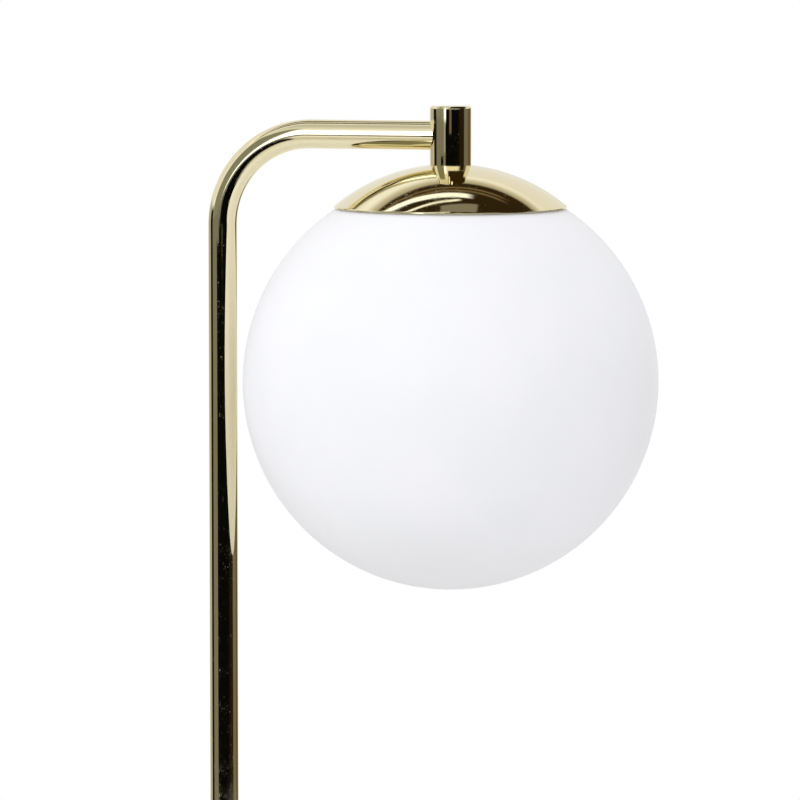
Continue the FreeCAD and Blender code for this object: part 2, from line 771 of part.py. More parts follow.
def make_lampholder_cap():
    """Holder cap: threaded collar, sloping shoulder and straight skirt."""
    shoulder = "(holder_collar + holder_shoulder)"
    return turned("lampholder_cap", [
        ("thread_radius + thread_gap", "0"),
        ("holder_collar_radius", "0"),
        ("holder_collar_radius", "-holder_collar"),
        ("holder_radius", "-" + shoulder),
        ("holder_radius", "-" + shoulder + " - holder_skirt"),
        ("holder_radius - holder_wall", "-" + shoulder + " - holder_skirt"),
        ("holder_radius - holder_wall", "-" + shoulder + " - holder_wall / 2"),
        ("holder_collar_radius", "-holder_collar - holder_wall"),
        ("thread_radius + thread_gap", "-holder_collar - holder_wall"),
    ], x="globe_x", z="holder_top")


def make_lampholder_core():
    """Insulating core inside the cap that carries both contacts."""
    return ring("lampholder_core", "0", "holder_radius - holder_wall - thread_gap", "core_height",
                x="globe_x", z="core_top")


def make_lampholder_screws():
    """Two terminal screws on top of the core."""
    body = new_body("lampholder_screws", x="globe_x", z="core_top")
    heads = new_sketch(body, "heads", "XY_Plane")
    for side in ("-", ""):
        draw_circle(heads, "0", side + "core_screw_place", "screw_radius")
    pad(body, heads, "screw_head")
    return body


def make_lampholder_shell():
    """Outer shell screwed under the cap, with an inward lip at its mouth."""
    return turned("lampholder_shell", [
        ("holder_radius - holder_wall", "0"),
        ("holder_radius", "0"),
        ("holder_radius", "-holder_shell_length"),
        ("holder_radius - holder_wall - holder_lip", "-holder_shell_length"),
        ("holder_radius - holder_wall - holder_lip", "-holder_shell_length + holder_wall"),
        ("holder_radius - holder_wall", "-holder_shell_length + holder_wall"),
    ], x="globe_x", z="cap_bottom")


def make_screw_contact():
    """Screw contact: a brass sleeve with a holed top that lies against the core."""
    return turned("screw_contact", [
        ("contact_hole", "0"),
        ("contact_radius + contact_wall", "0"),
        ("contact_radius + contact_wall", "-contact_length"),
        ("contact_radius", "-contact_length"),
        ("contact_radius", "-contact_wall"),
        ("contact_hole", "-contact_wall"),
    ], x="globe_x", z="cap_bottom")


def make_centre_contact():
    """Sprung tongue under the core that meets the tip of the bulb."""
    body = new_body("centre_contact", x="globe_x", z="cap_bottom")
    start = "-contact_hole * 0.8"
    level = "-tongue_sheet / 2"
    section = new_sketch(body, "section", "YZ_Plane", start)
    draw(section, [
        ("-tongue_width / 2", "-tongue_sheet"),
        ("tongue_width / 2", "-tongue_sheet"),
        ("tongue_width / 2", "0"),
        ("-tongue_width / 2", "0"),
    ])
    swept(body, [
        (start, level),
        ("-contact_hole * 0.35", level),
        ("-contact_hole * 0.05", level + " - tongue_drop"),
        ("contact_hole * 0.4", level + " - tongue_drop"),
    ], section, corners="Right corner")
    return body


# Bulb


def make_bulb_tip_contact():
    """Round tip contact of the bulb."""
    return turned("bulb_tip_contact", [
        ("0", "0"),
        ("bulb_tip_radius / 2", "0"),
        ("bulb_tip_radius", "-bulb_tip_height / 2"),
        ("bulb_tip_radius", "-bulb_tip_height"),
        ("0", "-bulb_tip_height"),
    ], x="globe_x", z="bulb_top")


def make_bulb_insulator():
    """Black insulator between the tip contact and the screw cap."""
    end = "(bulb_tip_height + bulb_insulator_height)"
    return turned("bulb_insulator", [
        ("0", "-bulb_tip_height"),
        ("bulb_tip_radius + bulb_cap_wall", "-bulb_tip_height"),
        ("bulb_insulator_radius", "-" + end),
        ("0", "-" + end),
    ], x="globe_x", z="bulb_top")


def make_bulb_screw_cap():
    """Screw cap of the bulb, a thin cup."""
    top = "(bulb_tip_height + bulb_insulator_height)"
    return turned("bulb_screw_cap", [
        ("0", "-" + top),
        ("bulb_cap_radius - bulb_shoulder", "-" + top),
        ("bulb_cap_radius", "-" + top + " - bulb_shoulder"),
        ("bulb_cap_radius", "-bulb_cap_end"),
        ("bulb_cap_radius - bulb_cap_wall", "-bulb_cap_end"),
        ("bulb_cap_radius - bulb_cap_wall", "-" + top + " - bulb_shoulder - bulb_cap_wall"),
        ("bulb_cap_radius - bulb_shoulder - bulb_cap_wall", "-" + top + " - bulb_cap_wall"),
        ("0", "-" + top + " - bulb_cap_wall"),
    ], x="globe_x", z="bulb_top")


def make_bulb_housing():
    """Moulded housing: a plug inside the screw cap that flares up to the glass ball."""
    inside = "(bulb_cap_radius - bulb_cap_wall - thread_gap)"
    return turned("bulb_housing", [
        ("0", "-bulb_cap_end / 2"),
        (inside, "-bulb_cap_end / 2"),
        (inside, "-bulb_cap_end"),
        ("bulb_neck_radius", "-bulb_cap_end"),
        ("bulb_neck_radius", "-bulb_cap_end - bulb_shoulder", "bulb_joint - bulb_cap_end", "left"),
        ("joint_radius", "-bulb_joint"),
        ("0", "-bulb_joint"),
    ], x="globe_x", z="bulb_top")


def make_bulb_glass():
    """Hollow glass ball of the bulb."""
    return turned("bulb_glass", [
        ("joint_radius", "-bulb_joint", "bulb_ball_radius", "right"),
        ("0", "-bulb_length"),
        ("0", "-bulb_length + bulb_glass_wall", "bulb_ball_radius - bulb_glass_wall", "left"),
        ("joint_inner_radius", "-bulb_joint"),
    ], x="globe_x", z="bulb_top")


# Wires


def make_wire(name, side):
    """One insulated wire from the terminal block through tube and nipple to the holder."""
    body = new_body(name, x="terminal_x", y=side + "wire_spread", z="wire_height")
    section = new_sketch(body, "section", "YZ_Plane")
    draw_circle(section, "0", "0", "wire_radius")
    foot = "(pole_x - terminal_x)"
    arm = "(arm_height - wire_height)"
    head = "(globe_x - terminal_x)"
    swept(body, [
        ("0", "0"),
        (foot + " + wire_foot_bend", "0", "wire_foot_bend", "right"),
        (foot, "wire_foot_bend"),
        (foot, arm + " - bend_radius", "bend_radius", "right"),
        (foot + " + bend_radius", arm),
        (head + " - wire_head_bend", arm, "wire_head_bend", "right"),
        (head, arm + " - wire_head_bend"),
        (head, "core_top - wire_height"),
    ], section)
    return body


CLIP_TURNS = (180, 300, 60)

parts = [
    make_base_cover(),
    make_base_weight(),
    make_base_pad(),
    make_cord_bush(),
    make_terminal_block(),
    make_terminal_screws(),
    make_stem_tube(),
    make_stem_tail(),
    make_stem_washer(),
    make_stem_lock_washer(),
    make_stem_nut(),
    make_head_block(),
    make_head_plug(),
    make_head_nipple(),
    make_dome_cap(),
    make_globe_seal(),
    make_clip_carrier(),
    make_spring_clip("spring_clip_left", CLIP_TURNS[0]),
    make_spring_clip("spring_clip_front", CLIP_TURNS[1]),
    make_spring_clip("spring_clip_back", CLIP_TURNS[2]),
    make_clip_rivets(),
    make_dome_washer(),
    make_dome_nut(),
    make_globe(),
    make_lampholder_cap(),
    make_lampholder_core(),
    make_lampholder_screws(),
    make_lampholder_shell(),
    make_screw_contact(),
    make_centre_contact(),
    make_bulb_tip_contact(),
    make_bulb_insulator(),
    make_bulb_screw_cap(),
    make_bulb_housing(),
    make_bulb_glass(),
    make_wire("wire_live", ""),
    make_wire("wire_neutral", "-"),
]

doc.recompute()
for item in doc.Objects:
    if "Invalid" in item.State or "Error" in item.State:
        raise RuntimeError("%s (%s) did not build" % (item.Label, item.Name))
os.makedirs("parts", exist_ok=True)
for part in parts:
    shape = part.Shape
    if shape.isNull() or not shape.isValid():
        raise RuntimeError(part.Label + " has no valid shape")
    shape.exportStep("parts/" + part.Label + ".step")
    print("%-18s %2d solid  %10.1f mm3" % (part.Label, len(shape.Solids), shape.Volume))
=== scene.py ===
"""Looks of the globe table lamp.

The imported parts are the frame. Each operator makes one piece, or one group of like pieces,
as a surface worked out with numpy, and gives it its finish. All sizes are in metres.
"""

import json
import math

import bmesh
import bpy
import numpy as np
from bpy.props import FloatProperty, FloatVectorProperty, IntProperty, PointerProperty
from bpy.types import Operator, Panel, PropertyGroup
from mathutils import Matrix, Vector


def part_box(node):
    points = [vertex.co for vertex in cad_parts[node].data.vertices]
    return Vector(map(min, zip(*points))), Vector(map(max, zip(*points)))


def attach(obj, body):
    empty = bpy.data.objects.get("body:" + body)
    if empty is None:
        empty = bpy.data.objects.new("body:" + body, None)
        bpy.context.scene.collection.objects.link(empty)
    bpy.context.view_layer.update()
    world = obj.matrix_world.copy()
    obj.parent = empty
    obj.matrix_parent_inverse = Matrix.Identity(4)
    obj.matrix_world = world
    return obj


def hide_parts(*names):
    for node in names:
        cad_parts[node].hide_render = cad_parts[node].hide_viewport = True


bl_info = {
    "name": "Globe Table Lamp",
    "version": (1, 0, 0),
    "blender": (4, 5, 0),
    "location": "View3D > Sidebar > Lamp",
    "description": "Builds the surfaces, the finishes and the studio of a globe table lamp",
    "category": "Add Mesh",
}

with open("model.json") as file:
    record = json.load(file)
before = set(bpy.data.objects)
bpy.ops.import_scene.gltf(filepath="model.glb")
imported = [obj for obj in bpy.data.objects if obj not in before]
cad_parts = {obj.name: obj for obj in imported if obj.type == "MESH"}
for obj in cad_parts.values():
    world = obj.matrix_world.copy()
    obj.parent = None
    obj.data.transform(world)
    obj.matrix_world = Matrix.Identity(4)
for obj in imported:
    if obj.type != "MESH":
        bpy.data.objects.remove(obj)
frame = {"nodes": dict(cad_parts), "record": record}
RECORD = frame["record"]
BODY_OF = {node: body for body, nodes in RECORD["behaviour"]["bodies"].items() for node in nodes}
SLOT_OF = {part["node"]: part["material_slot"] for part in RECORD["subparts"]}
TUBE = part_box("stem_tube")
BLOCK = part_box("head_block")
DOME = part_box("dome_cap")
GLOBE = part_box("globe")
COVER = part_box("base_cover")
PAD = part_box("base_pad")
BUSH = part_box("cord_bush")
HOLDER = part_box("lampholder_shell")
HOLDER_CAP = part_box("lampholder_cap")
SCREW_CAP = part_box("bulb_screw_cap")
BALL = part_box("bulb_glass")
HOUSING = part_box("bulb_housing")
FINISHES = {}


# Sizes and colours that a user would change


def length(name, description, default):
    """A size in metres."""
    return FloatProperty(name=name, description=description, default=default, min=0,
                         unit="LENGTH", precision=5)


def colour(name, description, default):
    """A colour, written as the linear red, green and blue of the surface."""
    return FloatVectorProperty(name=name, description=description, default=default,
                               subtype="COLOR", size=3, min=0, max=1)


class LampSizes(PropertyGroup):
    """Sizes of the visible pieces."""

    tube_radius: length("Tube radius", "Outside of the bent tube", 0.007)
    tube_wall: length("Tube wall", "Wall of the bent tube", 0.0012)
    bend_radius: length("Bend radius", "Centre line of the bend", 0.0445)
    block_radius: length("Block radius", "Upright cylinder at the end of the arm", 0.010)
    block_floor: length("Block floor", "Metal under the wire cavity of the block", 0.0045)
    cavity_radius: length("Cavity radius", "Wire cavity of the block", 0.0075)
    plug_height: length("Plug height", "Plug that closes the block", 0.004)
    plug_play: length("Plug play", "Fine gap around the plug", 0.0001)
    block_chamfer: length("Block chamfer", "Softened top edge of the block", 0.0009)
    thread_hole: length("Thread hole", "Clearance hole of the hollow thread", 0.0051)
    dome_radius: length("Dome radius", "Outside of the dome's sphere", 0.0878)
    dome_wall: length("Dome wall", "Sheet of the dome", 0.001)
    dome_seat: length("Dome seat", "Flat on top where the block stands", 0.0105)
    rim_roll: length("Rim roll", "Rounding that turns the dome down into its rim", 0.0008)
    glass_wall: length("Glass wall", "Wall of the blown globe", 0.003)
    mouth_radius: length("Mouth radius", "Ground hole on top of the globe", 0.040)
    mouth_rounding: length("Mouth rounding", "Fire polished edges of the hole", 0.0009)
    cover_wall: length("Cover wall", "Sheet of the base cover", 0.0012)
    cover_edge: length("Cover edge", "Rounding of the top edge of the cover", 0.0045)
    holder_wall: length("Holder wall", "Wall of the lampholder", 0.0016)
    rib_depth: length("Rib depth", "Grip ribs of the lampholder", 0.0004)
    thread_pitch: length("Thread pitch", "Pitch of the bulb's screw cap", 0.003629)
    thread_depth: length("Thread depth", "Depth of the bulb's rolled thread", 0.0009)
    ball_wall: length("Ball wall", "Wall of the bulb's glass ball", 0.001)
    ball_radius: length("Ball radius", "Outside of the bulb's glass ball", 0.0225)
    nut_flats: length("Nut flats", "Across the flats of both nuts", 0.014)
    fineness: IntProperty(name="Fineness", description="Steps around a turned piece",
                          default=192, min=24, max=384)


class LampColours(PropertyGroup):
    """Colours of the finishes."""

    brass: colour("Brass", "Polished, lacquered, pale gold", (0.885, 0.81, 0.55))
    brass_warm: colour("Warm brass", "Deeper tone in the drifts of the lacquer", (0.87, 0.785, 0.515))
    opal: colour("Opal glass", "Satin white glass", (0.93, 0.932, 0.965))
    opal_shade: colour("Opal cloud", "Faint clouds in the opal layer", (0.905, 0.91, 0.94))
    iron: colour("Cast iron", "Primed casting", (0.075, 0.075, 0.08))
    rubber: colour("Pad", "Anti-slip pad", (0.035, 0.035, 0.036))
    holder: colour("Lampholder", "White moulded holder", (0.80, 0.80, 0.775))
    bulb_white: colour("Bulb housing", "White moulded housing of the bulb", (0.86, 0.86, 0.84))
    bulb_opal: colour("Bulb glass", "Frosted glass ball of the bulb", (0.90, 0.90, 0.88))


class StudioSettings(PropertyGroup):
    """The viewing angle of the photograph and the light."""

    azimuth: FloatProperty(name="Azimuth", description="Camera angle round the lamp, 0 looks along +Y",
                           default=math.radians(14.5), subtype="ANGLE")
    elevation: FloatProperty(name="Elevation", description="Camera angle above the horizon",
                             default=math.radians(5.5), subtype="ANGLE")
    distance: length("Distance", "Camera to the point that it looks at", 2.5)
    aim: FloatVectorProperty(name="Aim", description="Point that the camera looks at",
                             default=(0.02989, 0.00773, 0.35709), subtype="XYZ", unit="LENGTH")
    view_width: length("View width", "Width of the frame at the point that it looks at", 0.38736)
    ambient: FloatProperty(name="Ambient", description="Strength of the even light", default=0.97, min=0)
    key: FloatProperty(name="Key light", description="Power of the large front lamp in watts",
                       default=7.6, min=0)


# Surfaces


def arc(centre, radius, start, end, steps):
    """Points of an arc in a section: the centre plus the radius times cosine and sine of even
    angles in degrees."""
    angle = np.radians(np.linspace(start, end, steps))
    return np.stack([centre[0] + radius * np.cos(angle), centre[1] + radius * np.sin(angle)], 1)


def sphere_run(centre, radius, first, last, steps):
    """Points of a section on a sphere between two angles from its top, in radians: the distance
    from the axis is the radius times the sine, and the height is the centre plus the radius times
    the cosine, at even angles."""
    angle = np.linspace(first, last, steps)
    return np.stack([radius * np.sin(angle), centre + radius * np.cos(angle)], 1)


def measures(box):
    """Axis, bottom, top and radius of a round piece, from its box."""
    low, high = box
    return (low.x + high.x) / 2, low.z, high.z, (high.x - low.x) / 2


def faded(height, low, high, run=0.002):
    """1 between two heights, falling in a straight line to 0 at both."""
    return np.clip((height - low) / run, 0, 1) * np.clip((high - height) / run, 0, 1)


def rounded(corners, radii, steps=7):
    """Closed section with rounded corners. Each corner gives way to an arc that touches both of its
    runs: its centre lies on the bisector, at the radius over the sine of half the corner's angle,
    and its points turn evenly from one touching point to the other."""
    corners = np.asarray(corners, float)
    radii = np.broadcast_to(np.asarray(radii, float), len(corners))[:, None]
    back = np.roll(corners, 1, 0) - corners
    ahead = np.roll(corners, -1, 0) - corners
    back /= np.linalg.norm(back, axis=1, keepdims=True)
    ahead /= np.linalg.norm(ahead, axis=1, keepdims=True)
    half = 0.5 * np.arccos(np.clip((back * ahead).sum(1), -1, 1))[:, None]
    bisector = back + ahead
    bisector /= np.maximum(np.linalg.norm(bisector, axis=1, keepdims=True), 1e-12)
    reach = np.where(radii > 0, radii / np.tan(half), 0)
    middle = corners + bisector * np.where(radii > 0, radii / np.sin(half), 0)
    first, last = corners + back * reach - middle, corners + ahead * reach - middle
    turn = np.pi - 2 * half
    share = np.linspace(0, 1, steps)[None, :]
    whole = np.maximum(np.sin(turn), 1e-9)
    start = (np.sin((1 - share) * turn) / whole)[..., None]
    stop = (np.sin(share * turn) / whole)[..., None]
    points = (middle[:, None] + start * first[:, None] + stop * last[:, None]).reshape(-1, 2)
    step = np.linalg.norm(points - np.roll(points, 1, 0), axis=1)
    return points[step > 1e-7]


def quads(web):
    """The four corners of every cell in a grid of point numbers."""
    return np.stack([web[:-1, :-1], web[:-1, 1:], web[1:, 1:], web[1:, :-1]], -1).reshape(-1, 4)


def closed_mesh(name, grid, pattern=None, sharp=32):
    """Mesh a grid of points whose rows and columns both close on themselves. Each cell is a quad.
    Points that meet are merged, so a cell at a pole is a triangle and an empty one goes. The signed
    volume, a sixth of the sum of corner products, says whether the faces have to be turned round."""
    rows, columns = grid.shape[:2]
    cells = quads(np.pad(np.arange(rows * columns).reshape(rows, columns), (0, 1), "wrap"))
    spots, spot = np.unique(np.round(grid.reshape(-1, 3), 8), axis=0, return_inverse=True)
    corners = spot.reshape(-1)[cells]
    if pattern is None:
        run = np.linalg.norm(np.diff(grid[:, 0], axis=0, append=grid[:1, 0]), axis=1)
        along = np.concatenate(([0], np.cumsum(run)))
        around = np.linspace(0, 1, columns + 1) * 2 * np.pi * np.ptp(grid[..., 0]) / 2
        pattern = np.stack(np.broadcast_arrays(around[None, :], along[:, None]), -1)
    marks = quads(np.arange((rows + 1) * (columns + 1)).reshape(rows + 1, columns + 1))
    a, b, c, d = (spots[corners[:, i]] for i in range(4))
    volume = (np.cross(a, b) * c).sum() + (np.cross(a, c) * d).sum()
    if volume < 0:
        corners, marks = corners[:, ::-1], marks[:, ::-1]
    keep = corners != np.roll(corners, 1, 1)
    whole = keep.sum(1) > 2
    corners, marks, keep = corners[whole], marks[whole], keep[whole]
    count = keep.sum(1)
    mesh = bpy.data.meshes.new(name)
    mesh.vertices.add(len(spots))
    mesh.vertices.foreach_set("co", spots.astype(np.float32).ravel())
    mesh.loops.add(int(count.sum()))
    mesh.loops.foreach_set("vertex_index", corners[keep].astype(np.int32))
    mesh.polygons.add(len(count))
    mesh.polygons.foreach_set("loop_start", (np.cumsum(count) - count).astype(np.int32))
    mesh.update(calc_edges=True)
    layer = mesh.uv_layers.new(name="UVMap")
    layer.data.foreach_set("uv", pattern.reshape(-1, 2)[marks[keep]].astype(np.float32).ravel())
    if mesh.validate():
        raise RuntimeError(name + " has broken faces")
    return shaded(name, mesh, sharp)


def added(name, data):
    """A new object in the scene for a mesh, a lamp or a camera."""
    item = bpy.data.objects.new(name, data)
    bpy.context.scene.collection.objects.link(item)
    return item


def shaded(name, mesh, sharp):
    """A new object with smooth faces and with sharp edges above an angle in degrees."""
    mesh.shade_smooth()
    mesh.set_sharp_from_angle(angle=math.radians(sharp))
    return added(name, mesh)


def circle(steps):
    """Even angles all the way round, in radians."""
    return np.arange(steps) * 2 * np.pi / steps


def revolved(far, height, angle, x=0.0):
    """Grid of points about the upright axis at x: each point goes to x plus its distance times the
    cosine, its distance times the sine, and its own height."""
    return np.stack(np.broadcast_arrays(x + far * np.cos(angle), far * np.sin(angle), height), -1)


def hollow_ball(centre, sizes, starts, steps):
    """Section of a ball's wall: the outer arc down to the pole and the inner arc back up, each with
    its radius, the angle from the top where it starts or ends, and its steps."""
    outside = sphere_run(centre, sizes[0], starts[0], math.pi, steps[0])
    inside = sphere_run(centre, sizes[1], math.pi, starts[1], steps[1])
    outside[-1, 0] = inside[0, 0] = 0
    return np.concatenate([outside, inside])


def turned(name, section, x, steps=None, sharp=32):
    """Turn a closed section about the upright axis at x, in the user's fineness unless told."""
    angle = circle(steps or bpy.context.scene.lamp_sizes.fineness)
    return closed_mesh(name, revolved(section[:, :1], section[:, 1:], angle, x), sharp=sharp)


def fit(piece, *nodes):
    """Let a piece stand for CAD nodes: it rides on their body and takes their slot and finish."""
    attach(piece, BODY_OF[nodes[0]])
    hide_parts(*nodes)
    piece.data.materials.clear()
    piece.data.materials.append(finish(SLOT_OF[nodes[0]]))


def smoothed(name, node, edge=0.0, sharp=28):
    """A copy of a CAD node with merged points, smooth round faces and, with an edge, fine bevels."""
    mesh = frame["nodes"][node].data.copy()
    mesh.name = name
    work = bmesh.new()
    work.from_mesh(mesh)
    bmesh.ops.remove_doubles(work, verts=work.verts, dist=1e-6)
    bmesh.ops.dissolve_limit(work, angle_limit=math.radians(0.4), verts=work.verts, edges=work.edges)
    work.to_mesh(mesh)
    work.free()
    piece = shaded(name, mesh, sharp)
    if edge:
        bevel = piece.modifiers.new("Fine edges", "BEVEL")
        bevel.width, bevel.segments = edge, 2
        bevel.limit_method, bevel.angle_limit = "ANGLE", math.radians(35)
        bevel.harden_normals = True
    fit(piece, node)


# Shader maths


def arithmetic(operation, swapped=False):
    """A Python operator that adds one Math node. Swapped, the wire is the second of its two values."""
    def method(self, other):
        return self.maths(operation, *((other, self) if swapped else (self, other)))
    return method


class Wire:
    """An output socket that takes part in Python sums: each operator adds one Math node."""

    def __init__(self, board, socket):
        self.board, self.socket = board, socket

    def maths(self, operation, *values):
        """The Math node of an operation on the given wires and numbers."""
        return self.board.add("ShaderNodeMath", {"operation": operation}, dict(enumerate(values)))

    __add__ = __radd__ = arithmetic("ADD")
    __mul__ = __rmul__ = arithmetic("MULTIPLY")
    __sub__ = arithmetic("SUBTRACT")
    __rsub__ = arithmetic("SUBTRACT", True)
    __truediv__ = arithmetic("DIVIDE")


class Board:
    """The node tree of one material or of the world."""

    def __init__(self, tree, shader=None):
        self.tree, self.shader = tree, shader

    def add(self, kind, settings=None, inputs=None, output=0):
        """Add any node: settings first, then values or links of its sockets. Returns one output."""
        node = self.tree.nodes.new(kind)
        for key, setting in (settings or {}).items():
            if key == "stops":
                ramp = node.color_ramp.elements
                while len(ramp) < len(setting):
                    ramp.new(0.5)
                for stop, (spot, shade) in zip(ramp, setting):
                    stop.position, stop.color = spot, (*shade, 1)
            else:
                setattr(node, key, setting)
        for key, given in (inputs or {}).items():
            self.feed(node.inputs[key], given)
        return Wire(self, node.outputs[output]) if len(node.outputs) else None

    def feed(self, socket, given):
        """Link a wire to a socket, or set the socket's own value."""
        if isinstance(given, Wire):
            self.tree.links.new(given.socket, socket)
        elif hasattr(given, "__len__") and len(given) == 3 and socket.type == "RGBA":
            socket.default_value = (*given, 1)
        else:
            socket.default_value = given

    def place(self, scale=None):
        """Object coordinates in metres, stretched by a scale along each axis."""
        spot = self.add("ShaderNodeTexCoord", output="Object")
        return self.scaled(spot, scale) if scale else spot

    def skin(self, scale):
        """The piece's own UV map in metres, across and along its surface, stretched by a scale."""
        return self.scaled(self.add("ShaderNodeTexCoord", output="UV"), scale)

    def scaled(self, vector, scale):
        return self.add("ShaderNodeVectorMath", {"operation": "MULTIPLY"}, {0: vector, 1: scale})

    def noise(self, scale, detail=2.0, roughness=0.5, at=None):
        """Noise by the object's own place, or by the coordinates that are given."""
        return self.add("ShaderNodeTexNoise", None, {
            "Vector": at or self.place(), "Scale": scale, "Detail": detail, "Roughness": roughness})

    def cells(self, scale):
        """The distance to the nearest of many scattered points."""
        return self.add("ShaderNodeTexVoronoi", None, {"Vector": self.place(), "Scale": scale})

    def specks(self, scale, low, high):
        """1 close to scattered points: within low of one, fading out at high."""
        return 1 - self.step(self.cells(scale), low, high)

    def step(self, given, low, high):
        """0 below low, 1 above high and a smooth step between them; a low above high turns it round."""
        return self.add("ShaderNodeMapRange", {"interpolation_type": "SMOOTHSTEP"},
                        {"Value": given, "From Min": low, "From Max": high})

    def band(self, given, low, high, soft=1.0, soft_high=None):
        """1 between low and high with soft ends. An end that is None is left open."""
        ends = []
        if low is not None:
            ends.append(self.step(given, low - soft, low + soft))
        if high is not None:
            soft = soft_high or soft
            ends.append(1 - self.step(given, high - soft, high + soft))
        return math.prod(ends[1:], start=ends[0])

    def mix(self, share, first, second):
        """The first colour where the share is 0 and the second where it is 1."""
        return self.add("ShaderNodeMix", {"data_type": "RGBA"}, {0: share, 6: first, 7: second}, 2)

    def bump(self, height, distance, normal=None):
        """The relief of a height, which lies on another relief where one is given."""
        under = {} if normal is None else {"Normal": normal}
        return self.add("ShaderNodeBump", None,
                        {"Height": height, "Distance": distance, "Strength": 1.0, **under})

    def dress(self, base, roughness, *relief):
        """Feed a finish to its shader: colour, roughness and the relief that bump makes."""
        sockets = self.shader.inputs
        self.feed(sockets["Base Color"], base)
        self.feed(sockets["Roughness"], roughness)
        self.feed(sockets["Normal"], self.bump(*relief))


def material(name, **constants):
    """The board of a new material with one Principled shader. What is the same all over is set on
    the shader's sockets."""
    FINISHES[name] = item = bpy.data.materials.new(name)
    item.use_nodes = True
    board = Board(item.node_tree, item.node_tree.nodes["Principled BSDF"])
    for key, given in constants.items():
        board.feed(board.shader.inputs[key.replace("_", " ")], given)
    return board


def finish(slot):
    """The finish of a slot, made the first time that it is asked for."""
    if slot not in FINISHES:
        MAKERS[slot](slot)
    return FINISHES[slot]


def tone(given, share=1.0):
    """A share of a colour, which is given or is the key of one that the user can change."""
    if isinstance(given, str):
        given = getattr(bpy.context.scene.lamp_colours, given)
    return tuple(share * part for part in given)


# Finishes: each maker takes the name of its slot


def polished_brass(name):
    """Polished and lacquered brass: a slow drift of tone, fine polish lines along the skin, a few
    pits and specks of dust under the lacquer, and a very shallow waviness."""
    board = material(name, Metallic=1.0, IOR=1.5)
    drift = board.step(board.noise(22.0, 3.0), 0.35, 0.65)
    lines = board.noise(1.0, 2.0, 0.6, board.skin((60.0, 5200.0, 0.0)))
    chosen = board.step(board.noise(120.0, 3.0, 0.65), 0.47, 0.60)
    dust = board.specks(1050.0, 0.14, 0.30) * chosen
    pits = board.specks(380.0, 0.07, 0.15) * (1 - chosen * 0.5)
    scuff = board.noise(1.0, 4.0, 0.7, board.place((900.0, 900.0, 330.0)))
    scuff = board.step(scuff, 0.58, 0.70) * chosen
    smudge = board.step(board.noise(60.0, 3.0, 0.6), 0.50, 0.72)
    waves = board.bump(board.noise(70.0, 1.0), 0.00004)
    board.dress(board.mix(drift, tone("brass"), tone("brass_warm")),
                0.026 + lines * 0.028 + smudge * 0.03 + dust * 0.17 + pits * 0.15 + scuff * 0.20,
                lines * 0.4 - pits * 3.0 - dust, 0.0000012, waves)


def opal_glass(name):
    """Satin opal glass: etched grain, faint clouds in the white layer and an uneven satin. Its inner
    face, nearer to the centre than the middle of the wall, has a painted glow: a faint white emission
    that stands for the light that the wall lets through."""
    board = material(name, IOR=1.5, Specular_IOR_Level=0.35, Emission_Strength=0.12)
    x, low, _, radius = measures(GLOBE)
    wall = bpy.context.scene.lamp_sizes.glass_wall
    distance = board.add("ShaderNodeVectorMath", {"operation": "DISTANCE"},
                         {0: board.place(), 1: (x, 0, low + radius)}, "Value")
    # painted glow: the inner face emits a little white light in place of the light that the wall lets
    # through; the outer face emits none
    outer = board.step(distance, radius - 0.8 * wall, radius - 0.5 * wall)
    glow = board.mix(outer, (1.0, 1.0, 0.98), (0.0, 0.0, 0.0))
    board.feed(board.shader.inputs["Emission Color"], glow)
    cloud = board.noise(18.0, 3.0, 0.6)
    grain = board.noise(3200.0)
    board.dress(board.mix(board.step(cloud, 0.3, 0.7), tone("opal"), tone("opal_shade")),
                0.40 + cloud * 0.10 + grain * 0.04,
                grain, 0.000006, board.bump(board.noise(34.0, 1.0), 0.00006))


# Colour, or the key of one that the user can change, and roughness
PLASTICS = {
    "holder_plastic": ("holder", 0.26),
    "bulb_plastic": ("bulb_white", 0.34),
    "bush_plastic": ((0.025, 0.025, 0.026), 0.38),
    "wire_brown": ((0.16, 0.065, 0.025), 0.42),
    "wire_blue": ((0.03, 0.11, 0.42), 0.42)}


def moulded(name):
    """Moulded plastic: fine spark-eroded grain, a slight drift of tone and of gloss."""
    shade, rough = PLASTICS[name]
    board = material(name, IOR=1.46)
    grain = board.noise(2600.0, 3.0)
    drift = board.noise(60.0, 3.0)
    board.dress(board.mix(board.step(drift, 0.3, 0.7), tone(shade), tone(shade, 0.93)),
                rough + drift * 0.10 + grain * 0.06, grain, 0.000012)


# Colour, roughness, depth of the tool's lines and how they are stretched
METALS = {
    "screw_brass": ((0.70, 0.52, 0.22), 0.20, 0.000004, (900.0, 900.0, 90.0)),
    "bulb_nickel": ((0.72, 0.71, 0.67), 0.16, 0.000003, (700.0, 700.0, 700.0))}


def worked_metal(name):
    """Turned, rolled or drawn metal: lines of the tool, spots of handling and a drift of gloss."""
    shade, rough, depth, stretch = METALS[name]
    board = material(name, Metallic=1.0)
    tool = board.noise(1.0, 3.0, 0.6, board.place(stretch))
    spots = board.step(board.noise(260.0, 3.0, 0.6), 0.55, 0.75)
    board.dress(board.mix(spots * 0.6, shade, tone(shade, 0.80)),
                rough + tool * 0.14 + spots * 0.12, tool, depth)


def white_ceramic(name):
    """Unglazed steatite: chalky, with fine grains and clouds of a darker tone."""
    board = material(name, IOR=1.5)
    cloud = board.noise(140.0, 4.0, 0.6)
    board.dress(board.mix(board.step(cloud, 0.35, 0.7), (0.78, 0.765, 0.715), (0.70, 0.68, 0.62)),
                0.66 + cloud * 0.14, board.cells(1900.0), 0.00002)


def bulb_opal(name):
    """Frosted ball of the bulb with a soft sheen."""
    board = material(name, IOR=1.47)
    cloud = board.noise(90.0, 3.0)
    board.dress(board.mix(cloud, tone(name), tone(name, 0.96)), 0.36 + cloud * 0.12,
                board.noise(4200.0), 0.000008)


